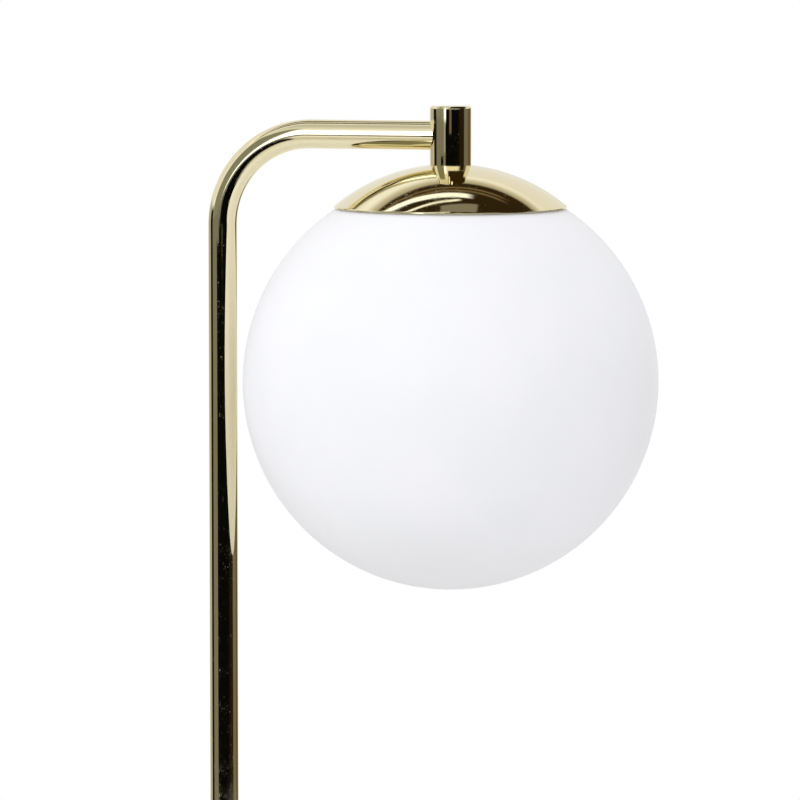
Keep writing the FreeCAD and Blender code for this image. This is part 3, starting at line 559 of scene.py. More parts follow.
def bulb_black(name):
    """Black glass insulator: glossy, with small bubbles."""
    board = material(name, IOR=1.52)
    bubbles = board.specks(900.0, 0.10, 0.25)
    board.dress(board.mix(bubbles, (0.012, 0.012, 0.013), (0.05, 0.05, 0.05)),
                0.12 + bubbles * 0.3, bubbles, -0.00002)


def cast_iron(name):
    """Primed sand casting: coarse skin, paint in its hollows and rubbed high spots."""
    board = material(name, IOR=1.5)
    skin = board.noise(420.0, 5.0, 0.62)
    pores = board.specks(520.0, 0.12, 0.34)
    rubbed = board.step(skin, 0.58, 0.72)
    board.feed(board.shader.inputs["Metallic"], rubbed * 0.6)
    board.dress(board.mix(rubbed, tone("iron"), (0.20, 0.195, 0.19)), 0.72 - rubbed * 0.22,
                skin - pores * 0.5, 0.00012)


def pad_rubber(name):
    """Anti-slip pad: fine open-cell grain and lint on its face."""
    board = material(name, IOR=1.5, Sheen_Weight=0.25)
    pores = board.cells(1300.0)
    lint = board.step(board.noise(1.0, 4.0, 0.7, board.place((240.0, 1700.0, 900.0))), 0.66, 0.74)
    board.dress(board.mix(lint * 0.5 + pores * 0.2, tone("rubber"), (0.13, 0.125, 0.12)),
                0.86 + pores * 0.1, pores, 0.00006)


def seal_silicone(name):
    """Translucent silicone: milky, smooth and slightly tacky looking."""
    board = material(name, IOR=1.41, Subsurface_Weight=0.3, Subsurface_Scale=0.002)
    cloud = board.noise(160.0, 3.0)
    board.dress(board.mix(cloud, (0.76, 0.76, 0.735), (0.68, 0.68, 0.65)), 0.42 + cloud * 0.16,
                cloud, 0.00004)


def zinc_steel(name):
    """Zinc plated steel with a faint blue and yellow passivation."""
    board = material(name, Metallic=1.0)
    lines = board.noise(1.0, 3.0, at=board.place((1100.0, 160.0, 1100.0)))
    film = board.add("ShaderNodeValToRGB", {"stops": [
        (0.30, (0.55, 0.585, 0.62)), (0.50, (0.62, 0.63, 0.63)), (0.72, (0.66, 0.635, 0.54))]},
        {0: board.noise(70.0, 3.0, 0.6)})
    board.dress(film, 0.26 + lines * 0.14, lines, 0.000006)


def spring_steel(name):
    """Tempered strip: rolled lines and a straw tint that comes and goes."""
    board = material(name, Metallic=1.0)
    heat = board.step(board.noise(110.0), 0.35, 0.7)
    lines = board.noise(1.0, 3.0, at=board.place((260.0, 260.0, 2400.0)))
    board.dress(board.mix(heat, (0.50, 0.51, 0.53), (0.50, 0.43, 0.33)), 0.22 + lines * 0.16,
                lines, 0.000005)


MAKERS = {maker.__name__: maker for maker in (
    polished_brass, opal_glass, white_ceramic, bulb_opal, bulb_black, cast_iron, pad_rubber,
    seal_silicone, zinc_steel, spring_steel)}
MAKERS |= {name: moulded for name in PLASTICS} | {name: worked_metal for name in METALS}


# Pieces


class PieceOperator:
    """What the operators share: they run on the scene, can be undone, and add their copies of CAD
    nodes. A row of copies is name, node, and where they differ edge and angle of the sharp edges."""

    bl_options = {"REGISTER", "UNDO"}
    copies = ()

    def execute(self, context):
        self.make(context.scene.lamp_sizes)
        for row in self.copies:
            smoothed(*row)
        return {"FINISHED"}

    def make(self, sizes):
        """Nothing but the copies."""


class LAMP_OT_bent_tube(PieceOperator, Operator):
    """Upright, bend and arm: one tube with a saddle end against the block"""

    bl_idname = "lamp.bent_tube"
    bl_label = "Bent Tube"

    def make(self, sizes):
        """A ring carried along the centre line: up, round a quarter circle and along the arm. In the
        bend the ring is a hair flatter, by a share of the sine of twice the turn. The last ring
        ends on the block: x is the block's axis less the root of its radius squared less y squared."""
        radius, steps = sizes.tube_radius, 72
        sunk, saddle, squash = 0.00002, 0.0125, 0.012
        pole, head = TUBE[0].x + radius, measures(BLOCK)[0]
        arm, bend, foot = TUBE[1].z - radius, sizes.bend_radius, TUBE[0].z
        turn = np.linspace(0, np.pi / 2, 97)
        rise = np.linspace(foot, arm - bend, 61)[:-1]
        run = np.linspace(pole + bend, head, 13)[1:]
        middle = np.concatenate([
            np.stack([np.full_like(rise, pole), rise], 1),
            np.stack([pole + bend - bend * np.cos(turn), arm - bend + bend * np.sin(turn)], 1),
            np.stack([run, np.full_like(run, arm)], 1)])
        lean = np.concatenate([np.zeros(len(rise)), turn, np.full(len(run), np.pi / 2)])
        flat = 1 - squash * np.sin(2 * lean)
        angle = circle(steps)

        def skin(size):
            side = size * np.cos(angle)[None] * flat[:, None]
            x = middle[:, :1] - side * np.cos(lean)[:, None]
            z = middle[:, 1:] + side * np.sin(lean)[:, None]
            y = np.broadcast_to(size * np.sin(angle), x.shape)
            reach = head - np.sqrt((sizes.block_radius - sunk) ** 2 - y ** 2)
            x = np.where(middle[:, :1] > head - saddle, np.minimum(x, reach), x)
            x[-1] = reach[-1]
            return np.stack([x, y, z], -1)

        grid = np.concatenate([skin(radius), skin(radius - sizes.tube_wall)[::-1]])
        along = np.linalg.norm(np.diff(middle, axis=0), axis=1)
        along = np.concatenate(([0], np.cumsum(along)))
        along = np.concatenate([along, along[::-1], along[:1]])
        around = np.linspace(0, 2 * np.pi * radius, steps + 1)
        pattern = np.stack(np.broadcast_arrays(along[:, None], around[None]), -1)
        fit(closed_mesh("bent_tube", grid, pattern, 40), "stem_tube")


class LAMP_OT_head_block(PieceOperator, Operator):
    """Upright cylinder at the end of the arm, with the plug that closes its top"""

    bl_idname = "lamp.head_block"
    bl_label = "Head Block"

    def make(self, sizes):
        """Two turned sections: a cup with a chamfered and softened rim, and a plug that stands
        inside it behind a hairline gap."""
        x, low, high, _ = measures(BLOCK)
        radius, hole, cave = sizes.block_radius, sizes.thread_hole, sizes.cavity_radius
        chamfer, floor, seat = sizes.block_chamfer, low + sizes.block_floor, high - sizes.plug_height
        cup = rounded([
            (hole, low), (radius, low), (radius, high - chamfer), (radius - chamfer, high),
            (cave, high), (cave, floor), (hole, floor)],
            [0, 0.0002, 0.0009, 0.0009, 0.00008, 0.0003, 0.0002])
        fit(turned("head_block_cup", cup, x), "head_block")
        plug = cave - sizes.plug_play
        disc = rounded([(0, seat), (plug, seat), (plug, high), (0, high)], [0, 0.0002, 0.00012, 0])
        fit(turned("head_block_plug", disc, x), "head_plug")


class LAMP_OT_dome(PieceOperator, Operator):
    """Spun dome over the mouth of the globe, with its soft ring"""

    bl_idname = "lamp.dome"
    bl_label = "Dome"

    def make(self, sizes):
        """The dome is a turned section: a flat seat, a spherical run, a roll that turns down into the
        rim, a soft edge, and the same inside at one wall less. The roll's centre lies one roll inside
        the rim and as far from the sphere's centre as the sphere's radius less the roll. The ring
        lies between two more spheres."""
        x, low, top, rim = measures(DOME)
        radius, wall, seat, roll = sizes.dome_radius, sizes.dome_wall, sizes.dome_seat, sizes.rim_roll
        soft, inner = 0.0003, radius - wall
        centre = top - math.sqrt(radius ** 2 - seat ** 2)
        hub = (rim - roll, centre + math.sqrt((radius - roll) ** 2 - (rim - roll) ** 2))
        turn = math.asin(hub[0] / (radius - roll))
        flat = math.sqrt(inner ** 2 - (top - wall - centre) ** 2)
        section = np.concatenate([
            [(sizes.thread_hole, top)],
            sphere_run(centre, radius, math.asin(seat / radius), turn, 96),
            arc(hub, roll, 90 - math.degrees(turn), 0, 14)[1:],
            arc((rim - soft, low + soft), soft, 0, -90, 6),
            arc((rim - wall + soft, low + soft), soft, -90, -180, 6),
            sphere_run(centre, inner, math.asin((rim - wall) / inner), math.asin(flat / inner), 64),
            [(sizes.thread_hole, top - wall)]])
        fit(turned("spun_dome", section, x, 256, 40), "dome_cap")
        near, far, steps = 0.046, 0.052, 9
        ring = np.concatenate([
            sphere_run(centre, face, math.asin(first / face), math.asin(last / face), steps)
            for face, first, last in ((inner - 0.0003, near, far), (inner - 0.0007, far, near))])
        edges = np.zeros(len(ring))
        edges[[0, steps - 1, steps, -1]] = 0.0002
        fit(turned("soft_ring", rounded(ring, edges), x), "globe_seal")


class LAMP_OT_opal_globe(PieceOperator, Operator):
    """Blown opal globe with its ground and fire polished mouth"""

    bl_idname = "lamp.opal_globe"
    bl_label = "Opal Globe"

    def make(self, sizes):
        """A turned section of two concentric arcs, from the mouth to the pole and back, joined at
        the mouth by a wall with rounded edges."""
        x, low, _, radius = measures(GLOBE)
        walls = radius, radius - sizes.glass_wall
        starts = [math.asin(sizes.mouth_radius / size) for size in walls]
        section = hollow_ball(low + radius, walls, starts, (160, 110))
        edges = np.zeros(len(section))
        edges[[0, -1]] = sizes.mouth_rounding
        fit(turned("opal_globe", rounded(section, edges), x, 256), "globe")


class LAMP_OT_base(PieceOperator, Operator):
    """Round base: spun cover, soft pad, cable bush and the iron inside"""

    bl_idname = "lamp.base"
    bl_label = "Base"
    copies = (("iron_weight", "base_weight", 0.0004),)

    def make(self, sizes):
        """The cover and the pad are turned sections with rounded edges. The bush is turned too, about
        the axis of the inlet, and then laid on its side: its height becomes minus x."""
        _, low, top, radius = measures(COVER)
        wall, edge = sizes.cover_wall, sizes.cover_edge
        cover = rounded([
            (0, top), (radius, top), (radius, low), (radius - wall, low), (radius - wall, top - wall),
            (0, top - wall)], [0, edge, 0.0003, 0.0003, edge - wall, 0], 17)
        piece = turned("spun_base_cover", cover, 0, 256)
        self.bore(piece, sizes)
        fit(piece, "base_cover")
        _, low, top, radius = measures(PAD)
        felt = rounded([(0, low), (radius, low), (radius, top), (0, top)], [0, 0.0006, 0.0003, 0])
        fit(turned("soft_pad", felt, 0), "base_pad")
        out, inside, height = -BUSH[0].x, -BUSH[1].x, (BUSH[0].z + BUSH[1].z) / 2
        flange, bore, wall, collar = (BUSH[1].z - BUSH[0].z) / 2, 0.0032, 0.0012, out - 0.0014
        bush = rounded([
            (bore, inside), (bore + wall, inside), (bore + wall, collar), (flange, collar),
            (flange, out), (bore, out)], [0.0002, 0.0003, 0.0001, 0.0002, 0.0006, 0.0009])
        grid = revolved(bush[:, :1], -bush[:, 1:], circle(96))[..., [2, 0, 1]]
        fit(closed_mesh("inlet_bush", grid + (0, 0, height)), "cord_bush")

    def bore(self, piece, sizes):
        """Cut the hole of the upright and the hole of the inlet with two plain drills."""
        inlet, pole = (BUSH[0].z + BUSH[1].z) / 2, TUBE[0].x + sizes.tube_radius
        for name, spot, turn, size in (
                ("foot_drill", (pole, 0, COVER[1].z), (0, 0, 0), sizes.thread_hole),
                ("inlet_drill", (COVER[0].x, 0, inlet), (0, math.pi / 2, 0), 0.0045)):
            bpy.ops.mesh.primitive_cylinder_add(
                vertices=64, radius=size, depth=0.012, location=spot, rotation=turn)
            drill = bpy.context.object
            drill.name = name
            cut = piece.modifiers.new(name, "BOOLEAN")
            cut.operation, cut.object, cut.solver = "DIFFERENCE", drill, "EXACT"
            bpy.context.view_layer.objects.active = piece
            bpy.ops.object.modifier_apply(modifier=name)
            bpy.data.objects.remove(drill)


class LAMP_OT_lampholder(PieceOperator, Operator):
    """Ribbed lampholder with its cap, core, contacts and screws"""

    bl_idname = "lamp.lampholder"
    bl_label = "Lampholder"
    copies = (("holder_core", "lampholder_core", 0.0003),
              ("holder_screws", "lampholder_screws", 0.0002),
              ("holder_screw_contact", "screw_contact", 0.0001),
              ("holder_centre_contact", "centre_contact", 0.0001))

    def make(self, sizes):
        """Shell and cap are turned sections. On the outside of the shell the radius is drawn in by
        the rib depth times a flattened cosine of forty turns, faded out at both ends."""
        x, low, high, radius = measures(HOLDER)
        wall, lip, hair, ribs, end = sizes.holder_wall, 0.0015, 1e-6, 40, 0.0035
        corners = rounded([
            (radius - wall, high), (radius, high), (radius, low), (radius - wall - lip, low),
            (radius - wall - lip, low + wall), (radius - wall, low + wall)],
            [0, 0.0002, 0.0012, 0.0006, 0.0005, 0.0004])
        outer = np.flatnonzero(corners[:, 0] > radius - hair)
        split = outer[corners[outer, 1].argmin()]
        rise = np.linspace(high - 0.0003, low + 0.0014, 60)
        side = np.stack([np.full_like(rise, radius), rise], 1)
        section = np.concatenate([corners[:split], side, corners[split:]])
        moved = np.linalg.norm(np.diff(section, axis=0), axis=1) > hair
        section = section[np.concatenate(([True], moved))]
        angle = circle(480)
        far, height = section[:, :1], section[:, 1:]
        groove = np.clip(1.6 * np.cos(ribs * angle) - 0.6, 0, 1) * (far > radius - hair)
        far = far - sizes.rib_depth * groove * faded(height, low + end, high - end)
        fit(closed_mesh("ribbed_holder_shell", revolved(far, height, angle, x), sharp=50),
            "lampholder_shell")
        _, foot, top, _ = measures(HOLDER_CAP)
        hole, collar, shoulder, step = sizes.thread_hole, 0.0075, foot + 0.008, top - 0.0035
        cap = rounded([
            (hole, top), (collar, top), (collar, step), (radius, shoulder), (radius, foot),
            (radius - wall, foot), (radius - wall, shoulder - wall / 2), (collar, step - wall),
            (hole, step - wall)],
            [0.0002, 0.0005, 0.0012, 0.003, 0.0002, 0.0001, 0.0015, 0.0004, 0.0002])
        fit(turned("holder_cap", cap, x), "lampholder_cap")


class LAMP_OT_bulb(PieceOperator, Operator):
    """Bulb with its rolled screw cap, housing, glass ball and contacts"""

    bl_idname = "lamp.bulb"
    bl_label = "Bulb"
    copies = (("bulb_tip", "bulb_tip_contact", 0.0001),
              ("bulb_glass_insulator", "bulb_insulator", 0.0001))

    def make(self, sizes):
        """Ball and housing are turned sections. The flare of the housing is an arc through its neck
        and the seam of the ball, whose centre lies beside the middle of the two."""
        x, low, joint, _ = measures(BALL)
        top = HOUSING[1].z
        radius, centre = sizes.ball_radius, low + sizes.ball_radius
        walls = radius, radius - sizes.ball_wall
        seams = [math.acos((joint - centre) / size) for size in walls]
        fit(turned("frosted_ball", hollow_ball(centre, walls, seams, (72, 48)), x), "bulb_glass")
        neck, plug, wide = 0.0136, 0.01255, radius * math.sin(seams[0])
        ledge = top - 0.013
        drop, bow = ledge - 0.002, 0.018
        span = math.hypot(wide - neck, joint - drop)
        side = np.array([drop - joint, wide - neck]) / span * math.sqrt(bow ** 2 - (span / 2) ** 2)
        middle = np.array([(neck + wide) / 2, (drop + joint) / 2])
        hub = middle - side if middle[0] - side[0] >= neck else middle + side
        first, last = (math.degrees(math.atan2(z - hub[1], far - hub[0])) % 360
                       for far, z in ((neck, drop), (wide, joint)))
        section = np.concatenate([
            [(0, top), (plug, top), (plug, ledge), (neck, ledge)], arc(hub, bow, first, last, 32),
            [(0, joint)]])
        edges = np.zeros(len(section))
        edges[[1, 3, 4, -2]] = 0.0005, 0.0003, 0.0006, 0.0001
        fit(turned("bulb_body", rounded(section, edges), x, sharp=40), "bulb_housing")
        self.screw_cap(sizes, x)

    def screw_cap(self, sizes, x):
        """The screw cap is turned with its radius drawn in by the thread depth times half of one less
        the cosine of height over pitch less the share of a turn, faded out at both ends. The rolled
        sheet follows the same helix inside and outside, one sheet apart."""
        _, low, high, radius = measures(SCREW_CAP)
        sheet, bend, steps = 0.0004, 0.002, 144
        angle = circle(steps)
        rise = np.linspace(high - bend, low, 120)[:, None]
        wave = 0.5 - 0.5 * np.cos(2 * np.pi * (rise - low) / sizes.thread_pitch - angle)
        outer = radius - sizes.thread_depth * wave * faded(rise, low + 0.001, high - 0.0015)
        tall = np.broadcast_to(rise, outer.shape)
        hub = (radius - bend, high - bend)
        shoulder = [(0.0, high), *arc(hub, bend, 90, 0, 12)[:-1]]
        under = [*arc(hub, bend - sheet, 0, 90, 12)[1:], (0.0, high - sheet)]

        def spread(points):
            """The distances and the heights of a section, the same all the way round."""
            return np.repeat(np.transpose(points)[:, :, None], steps, 2)

        far, height = np.concatenate([
            spread(shoulder), [outer, tall], [(outer - sheet)[::-1], tall[::-1]], spread(under)], 1)
        fit(closed_mesh("rolled_screw_cap", revolved(far, height, angle, x), sharp=60), "bulb_screw_cap")


class LAMP_OT_clips(PieceOperator, Operator):
    """Carrier, spring clips, rivets, washers, nuts and hollow threads"""

    bl_idname = "lamp.clips"
    bl_label = "Clips and Nuts"
    sheet = (("pressed_carrier", "clip_carrier", 0.00025),
             ("clip_strip_left", "spring_clip_left", 0.0001, 50),
             ("clip_strip_front", "spring_clip_front", 0.0001, 50),
             ("clip_strip_back", "spring_clip_back", 0.0001, 50),
             ("rivet_heads", "clip_rivets", 0.0003),
             ("top_washer", "dome_washer", 0.00015),
             ("hollow_thread", "head_nipple", 0.0002),
             ("foot_insert", "stem_tail", 0.0002),
             ("foot_washer", "stem_washer", 0.00015),
             ("foot_spring_washer", "stem_lock_washer", 0.00015))

    def make(self, sizes):
        """Sheet and turned parts are copies with fine edges. A nut is a ring whose outline is the flat
        half width over the cosine of the angle from the nearest flat, cut at both ends by a cone of
        thirty degrees that starts at the flats."""
        for row in self.sheet:
            smoothed(*row)
        flat, hole = sizes.nut_flats / 2, sizes.thread_hole
        angle, first_flat, sixth = circle(144), math.radians(10), np.pi / 3
        local = np.mod(angle - first_flat + sixth / 2, sixth) - sixth / 2
        corner = np.maximum(flat / np.cos(local), flat + 1e-6)
        cone = (corner - flat) * math.tan(math.radians(30)) + 0.0001
        bevel, edge = 0.0005, [hole, hole + 0.0006, flat - 0.0002, corner]
        far = np.stack(np.broadcast_arrays(*edge, *edge[::-1]))
        for name, node in (("top_nut", "dome_nut"), ("foot_nut", "stem_nut")):
            x, low, high, _ = measures(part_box(node))
            height = np.stack(np.broadcast_arrays(
                high - bevel, high, high, high - cone, low + cone, low, low, low + bevel))
            fit(closed_mesh(name, revolved(far, height, angle, x), sharp=20), node)


class LAMP_OT_wiring(PieceOperator, Operator):
    """Terminal block with its screws, and the two inner wires"""

    bl_idname = "lamp.wiring"
    bl_label = "Wiring"
    copies = (("terminal_body", "terminal_block", 0.0004),
              ("terminal_screw_heads", "terminal_screws", 0.0002),
              ("brown_wire", "wire_live", 0, 50),
              ("blue_wire", "wire_neutral", 0, 50))


# The room that the metal mirrors, laid on a pale ceiling in this order. Each patch has its turn and
# its rise in degrees, both as from, to and softness, and twice a softness where the second end has
# its own. None leaves an end open, () leaves both open, and a colour of None is the lamp's glow.
ROOM = (
    ("dim top of the ceiling", (), (48.0, None, 18.0), (0.60, 0.60, 0.57)),
    ("brown ceiling", (-17.0, None, 3.0), (23.0, None, 2.0), (0.035, 0.02, 0.006)),
    ("left lamp of the ceiling", (-13.0, -7.0, 1.0), (38.0, 54.0, 2.0), (1.6, 1.6, 1.6)),
    ("right lamp of the ceiling", (5.0, 15.0, 1.0), (49.0, 56.0, 1.5), (1.6, 1.6, 1.6)),
    ("khaki wall", (-86.0, -40.0, 4.0), (-20.0, 44.0, 3.0), (0.25, 0.25, 0.20)),
    ("white wall at the left", (None, -88.0, 4.0), (), (0.98, 0.97, 0.95)),
    ("pale floor", (), (None, -21.0, 13.0), (0.58, 0.55, 0.47)),
    ("foot of the khaki wall", (-90.0, -29.8, 0.6), (-14.0, -0.8, 0.8), (0.21, 0.20, 0.165)),
    ("edge of the black cloth", (-30.0, -26.0, 0.4), (-14.0, -0.8, 0.8), (0.003, 0.003, 0.003)),
    ("glow of the tall lamp on the floor", (-50.0, -27.5, 1.0), (-40.0, -11.0, 1.0), None),
    ("tall soft lamp beside the camera", (-37.5, -27.5, 1.5), (-0.5, 30.0, 1.5), (2.4, 2.5, 3.0)),
    ("black cloth", (-27.4, None, 1.0), (-34.0, 5.0, 4.0, 3.0), (0.003, 0.003, 0.003)),
    ("brown wood", (-9.0, 3.0, 1.5), (-3.6, 8.0, 0.3), (0.17, 0.125, 0.085)),
    ("dark wood at the right", (48.0, None, 12.0), (None, 25.0, 5.0), (0.02, 0.013, 0.006)),
    ("khaki door", (79.0, 112.0, 2.5), (None, 25.0, 5.0), (0.18, 0.165, 0.125)),
    ("brown floor behind", (114.0, None, 4.0), (None, 7.0, 5.0), (0.16, 0.10, 0.05)),
    ("pale floor behind", (None, -151.0, 5.0), (None, 5.5, 2.5), (0.88, 0.86, 0.80)),
    ("grey floor at the left", (-150.0, -110.0, 4.0), (None, 5.5, 2.5), (0.50, 0.48, 0.42)),
    ("dark edge at the left", (-111.0, -86.0, 1.5), (None, 4.0, 2.0), (0.012, 0.010, 0.006)))


class LAMP_OT_studio(PieceOperator, Operator):
    """Pale floor, soft light, the surroundings that the metal mirrors, and the camera"""

    bl_idname = "lamp.studio"
    bl_label = "Studio"

    def make(self, sizes):
        """The floor, the cards beside it, the room, the lamp and the camera."""
        settings = bpy.context.scene.lamp_studio
        self.floor()
        self.cards(settings, TUBE[0].x + sizes.tube_radius)
        self.surroundings(settings)
        self.lamps(settings)
        self.camera(settings)
        bpy.context.scene.view_settings.view_transform = "Standard"

    def stand(self, name, points, faces, item):
        """A piece of the studio with a finish that is already made. It is no part of the lamp."""
        mesh = bpy.data.meshes.new(name)
        mesh.from_pydata(np.asarray(points).tolist(), [], faces)
        mesh.validate()
        mesh.materials.append(FINISHES[item])
        piece = added(name, mesh)
        return piece

    def floor(self):
        """A thin round sheet of paper whose shadowed middle fades into the white around it. From
        underneath it is clear."""
        rings, steps, reach = 40, 96, 1.4
        grid = revolved(np.linspace(0, reach, rings)[:, None], 0.0, circle(steps))
        index = np.pad(np.arange(rings * steps).reshape(rings, steps), ((0, 0), (0, 1)), "wrap")
        caps = np.stack([np.zeros(steps, int), index[1, :-1], index[1, 1:]], -1)
        faces = quads(index[1:])[:, ::-1].tolist() + caps.tolist()
        board = material("paper", Specular_IOR_Level=0.2)
        grain = board.noise(900.0, 3.0)
        board.dress(board.mix(grain, (0.86, 0.86, 0.86), (0.83, 0.83, 0.83)), 0.9, grain, 0.00003)
        distance = board.add("ShaderNodeVectorMath", {"operation": "LENGTH"},
                             {0: board.place()}, "Value")
        under = board.add("ShaderNodeNewGeometry", output="Backfacing")
        gone = distance.maths("MAXIMUM", board.step(distance, 0.30, 0.95), under)
        sheet = Wire(board, board.shader.outputs[0])
        clear = board.add("ShaderNodeBsdfTransparent")
        join = board.add("ShaderNodeMixShader", None, {0: gone, 1: sheet, 2: clear})
        board.feed(board.tree.nodes["Material Output"].inputs["Surface"], join)
        self.stand("paper_floor", grid.reshape(-1, 3), faces, "paper")

    def cards(self, settings, upright):
        """Two upright cards half a metre away that only reflections see. Each is a rectangle between
        two points of the form foot + 0.5 (sin turn, -cos turn): a dark one that the upright mirrors,
        from knee height to just under the arm, and a pale one at the height of the arm."""
        arm = -0.045, 0.046
        for name, feet, turns, (low, high), glow in (
                ("dark_card", [(upright, 0.0)] * 2, (-29.5, -47.0), (0.07, 0.40), 0.0),
                ("pale_card", [(x, -0.007) for x in arm], (-29.0, -29.0), (0.411, 0.480), 0.35)):
            turn = np.radians(turns) + settings.azimuth
            one, two = np.asarray(feet) + 0.5 * np.stack([np.sin(turn), -np.cos(turn)], 1)
            material(name, Base_Color=(0.004, 0.004, 0.004), Specular_IOR_Level=0.0, Roughness=1.0,
                     Emission_Color=(1.0, 1.0, 0.96), Emission_Strength=glow)
            card = self.stand(name, [(*one, low), (*two, low), (*two, high), (*one, high)],
                              [(0, 1, 2, 3)], name)
            card.visible_camera = card.visible_diffuse = False
            card.visible_transmission = card.visible_shadow = False

    def surroundings(self, settings):
        """The room by direction. Turn is counted in degrees from the camera to its right, the
        arctangent of the part to the right over the part towards the camera, and rise is the
        arcsine of the height. Overhead, across and along are the parts to the right and towards the
        camera over the height, so a straight edge of the ceiling is a straight line there."""
        world = bpy.data.worlds.new("studio")
        bpy.context.scene.world = world
        world.use_nodes = True
        world.cycles.sampling_method = "NONE"
        world.node_tree.nodes.clear()
        board = Board(world.node_tree)
        step, band, mix = board.step, board.band, board.mix
        direction = board.add("ShaderNodeTexCoord", output="Generated")
        x, y, z = (board.add("ShaderNodeSeparateXYZ", None, {0: direction}, i) for i in range(3))
        cosine, sine = math.cos(settings.azimuth), math.sin(settings.azimuth)
        right, towards = x * cosine + y * sine, x * sine - y * cosine
        turn = right.maths("ARCTAN2", right, towards) * (180 / math.pi)
        rise = z.maths("ARCSINE", z) * (180 / math.pi)
        height = z.maths("MAXIMUM", z, 0.08)
        across, along = right / height, towards / height
        room = (1.0, 1.0, 0.97)
        glow = mix(step(rise, -32.0, -9.0), (0.58, 0.55, 0.47), (1.05, 1.04, 1.0))
        for _, turns, rises, shade in ROOM:
            sides = [band(given, *ends) for given, ends in ((turn, turns), (rise, rises)) if ends]
            room = mix(math.prod(sides[1:], start=sides[0]), room, shade or glow)
        # behind and overhead: white paper, its dark upper edge, two brown battens, a bright strip,
        # a second narrow strip and a khaki panel
        bow = across * across
        edge = along + 0.887 - 0.45 * bow + 0.19 * across
        paper = mix(step(edge, -0.30, 0.02), (1.0, 0.99, 0.97), (0.50, 0.45, 0.34))
        paper = mix(step(edge, 0.0, 0.09), paper, (0.030, 0.018, 0.006))
        batten = along + 0.66 - 0.45 * bow + 0.10 * across
        battens = band(batten, -0.035, 0.005, 0.012) + band(batten, 0.05, 0.09, 0.015)
        paper = mix(battens * (1 - step(across, 0.30, 0.46)), paper, (0.20, 0.14, 0.07))
        strip = band(along + 0.475 - 0.1 * bow, -0.05, 0.05, 0.012) * (1 - step(across, 0.10, 0.18))
        paper = mix(strip, paper, (1.25, 1.3, 1.35))
        second = along + 0.352 + 0.25 * across
        narrow = band(second, -0.02, 0.02, 0.008) * (1 - step(across, 0.04, 0.09))
        paper = mix(narrow, paper, (1.1, 1.1, 1.05))
        panel = step(second, 0.06, 0.09) * band(across, -0.07, 0.20, 0.012)
        paper = mix(panel, paper, (0.235, 0.215, 0.18))
        room = mix(step(rise, 30.0, 36.0) * step(along * -1, 0.12, 0.15), room, paper)
        # the white wall behind, and more of it low down on the right
        behind = turn.maths("ABSOLUTE", turn)
        room = mix(step(behind, 92.0, 100.0) * band(rise, 6.5, 38.0, 2.5), room, (0.86, 0.85, 0.83))
        room = mix(step(turn, 142.0, 150.0) * (1 - step(rise, 4.0, 9.0)), room, (0.98, 0.97, 0.94))
        camera = board.add("ShaderNodeLightPath", output="Is Camera Ray")
        mirror = board.add("ShaderNodeLightPath", output="Is Glossy Ray")
        soft = mix(step(z, -0.4, 0.6), (0.86, 0.86, 0.87), (1.0, 1.0, 1.0))
        even, seen, shine = (
            board.add("ShaderNodeBackground", None, {"Color": shade, "Strength": strength})
            for shade, strength in ((soft, settings.ambient), ((1.0, 1.0, 1.0), 1.0), (room, 1.0)))
        glossy = board.add("ShaderNodeMixShader", None, {0: mirror, 1: even, 2: shine})
        full = board.add("ShaderNodeMixShader", None, {0: camera, 1: glossy, 2: seen})
        board.add("ShaderNodeOutputWorld", None, {"Surface": full})

    def lamps(self, settings):
        """A large soft lamp in front, up and to the left of the camera."""
        turn = settings.azimuth
        back = Vector((math.sin(turn), -math.cos(turn), 0))
        side = Vector((math.cos(turn), math.sin(turn), 0))
        light = bpy.data.lights.new("front_lamp", "AREA")
        light.shape, light.size, light.size_y, light.energy = "RECTANGLE", 1.6, 1.4, settings.key
        lamp = added("front_lamp", light)
        spot, aim = back * 1.4 - side * 1.2 + Vector((0, 0, 1.2)), Vector((0.04, 0, 0.33))
        lamp.location = spot
        lamp.rotation_euler = (aim - spot).to_track_quat("-Z", "Y").to_euler()
        lamp.visible_glossy = lamp.visible_camera = False

    def camera(self, settings):
        """The camera stands at the photograph's angle: its place is the aim plus the distance along
        the direction of azimuth and elevation."""
        turn, rise = settings.azimuth, settings.elevation
        level = math.cos(rise)
        back = Vector((math.sin(turn) * level, -math.cos(turn) * level, math.sin(rise)))
        data = bpy.data.cameras.new("camera")
        data.sensor_width = 36.0
        data.lens = data.sensor_width * settings.distance / settings.view_width
        data.clip_end = 50.0
        eye = added("camera", data)
        eye.location = Vector(settings.aim) + back * settings.distance
        eye.rotation_euler = (-back).to_track_quat("-Z", "Y").to_euler()
        bpy.context.scene.camera = eye


OPERATORS = (LAMP_OT_bent_tube, LAMP_OT_head_block, LAMP_OT_dome, LAMP_OT_opal_globe, LAMP_OT_base,
             LAMP_OT_lampholder, LAMP_OT_bulb, LAMP_OT_clips, LAMP_OT_wiring, LAMP_OT_studio)


class LAMP_PT_panel(Panel):
    """The lamp's pieces, sizes and colours in the sidebar"""

    bl_label = "Globe Table Lamp"
    bl_idname = "LAMP_PT_panel"
    bl_space_type = "VIEW_3D"
    bl_region_type = "UI"
    bl_category = "Lamp"

    def draw(self, context):
        for operator in OPERATORS:
            self.layout.operator(operator.bl_idname)
        for group in (context.scene.lamp_sizes, context.scene.lamp_colours, context.scene.lamp_studio):
            box = self.layout.box()
            for key in group.bl_rna.properties.keys():
                if key not in ("rna_type", "name"):
                    box.prop(group, key)


GROUPS = {"lamp_sizes": LampSizes, "lamp_colours": LampColours, "lamp_studio": StudioSettings}


def register():
    for item in (*GROUPS.values(), *OPERATORS, LAMP_PT_panel):
        bpy.utils.register_class(item)
    for name, group in GROUPS.items():
        setattr(bpy.types.Scene, name, PointerProperty(type=group))


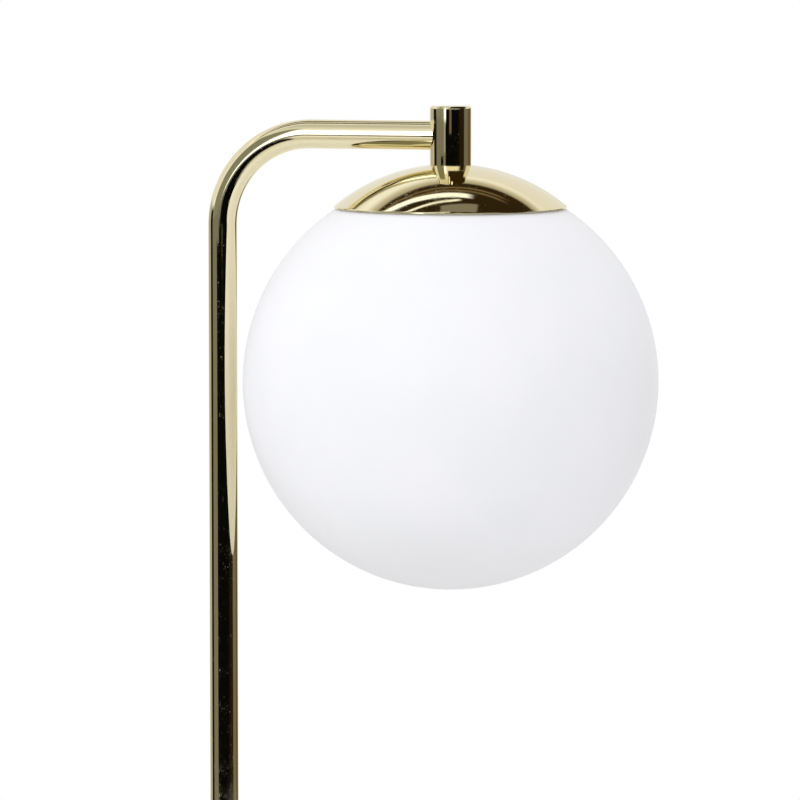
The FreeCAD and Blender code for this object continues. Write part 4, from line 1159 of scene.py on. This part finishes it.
def unregister():
    for name in GROUPS:
        delattr(bpy.types.Scene, name)
    for item in reversed((*GROUPS.values(), *OPERATORS, LAMP_PT_panel)):
        bpy.utils.unregister_class(item)


def main():
    """Make every piece and the studio."""
    register()
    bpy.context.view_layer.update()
    bpy.ops.lamp.bent_tube()
    bpy.ops.lamp.head_block()
    bpy.ops.lamp.dome()
    bpy.ops.lamp.opal_globe()
    bpy.ops.lamp.base()
    bpy.ops.lamp.lampholder()
    bpy.ops.lamp.bulb()
    bpy.ops.lamp.clips()
    bpy.ops.lamp.wiring()
    bpy.ops.lamp.studio()


if __name__ == "__main__":
    main()
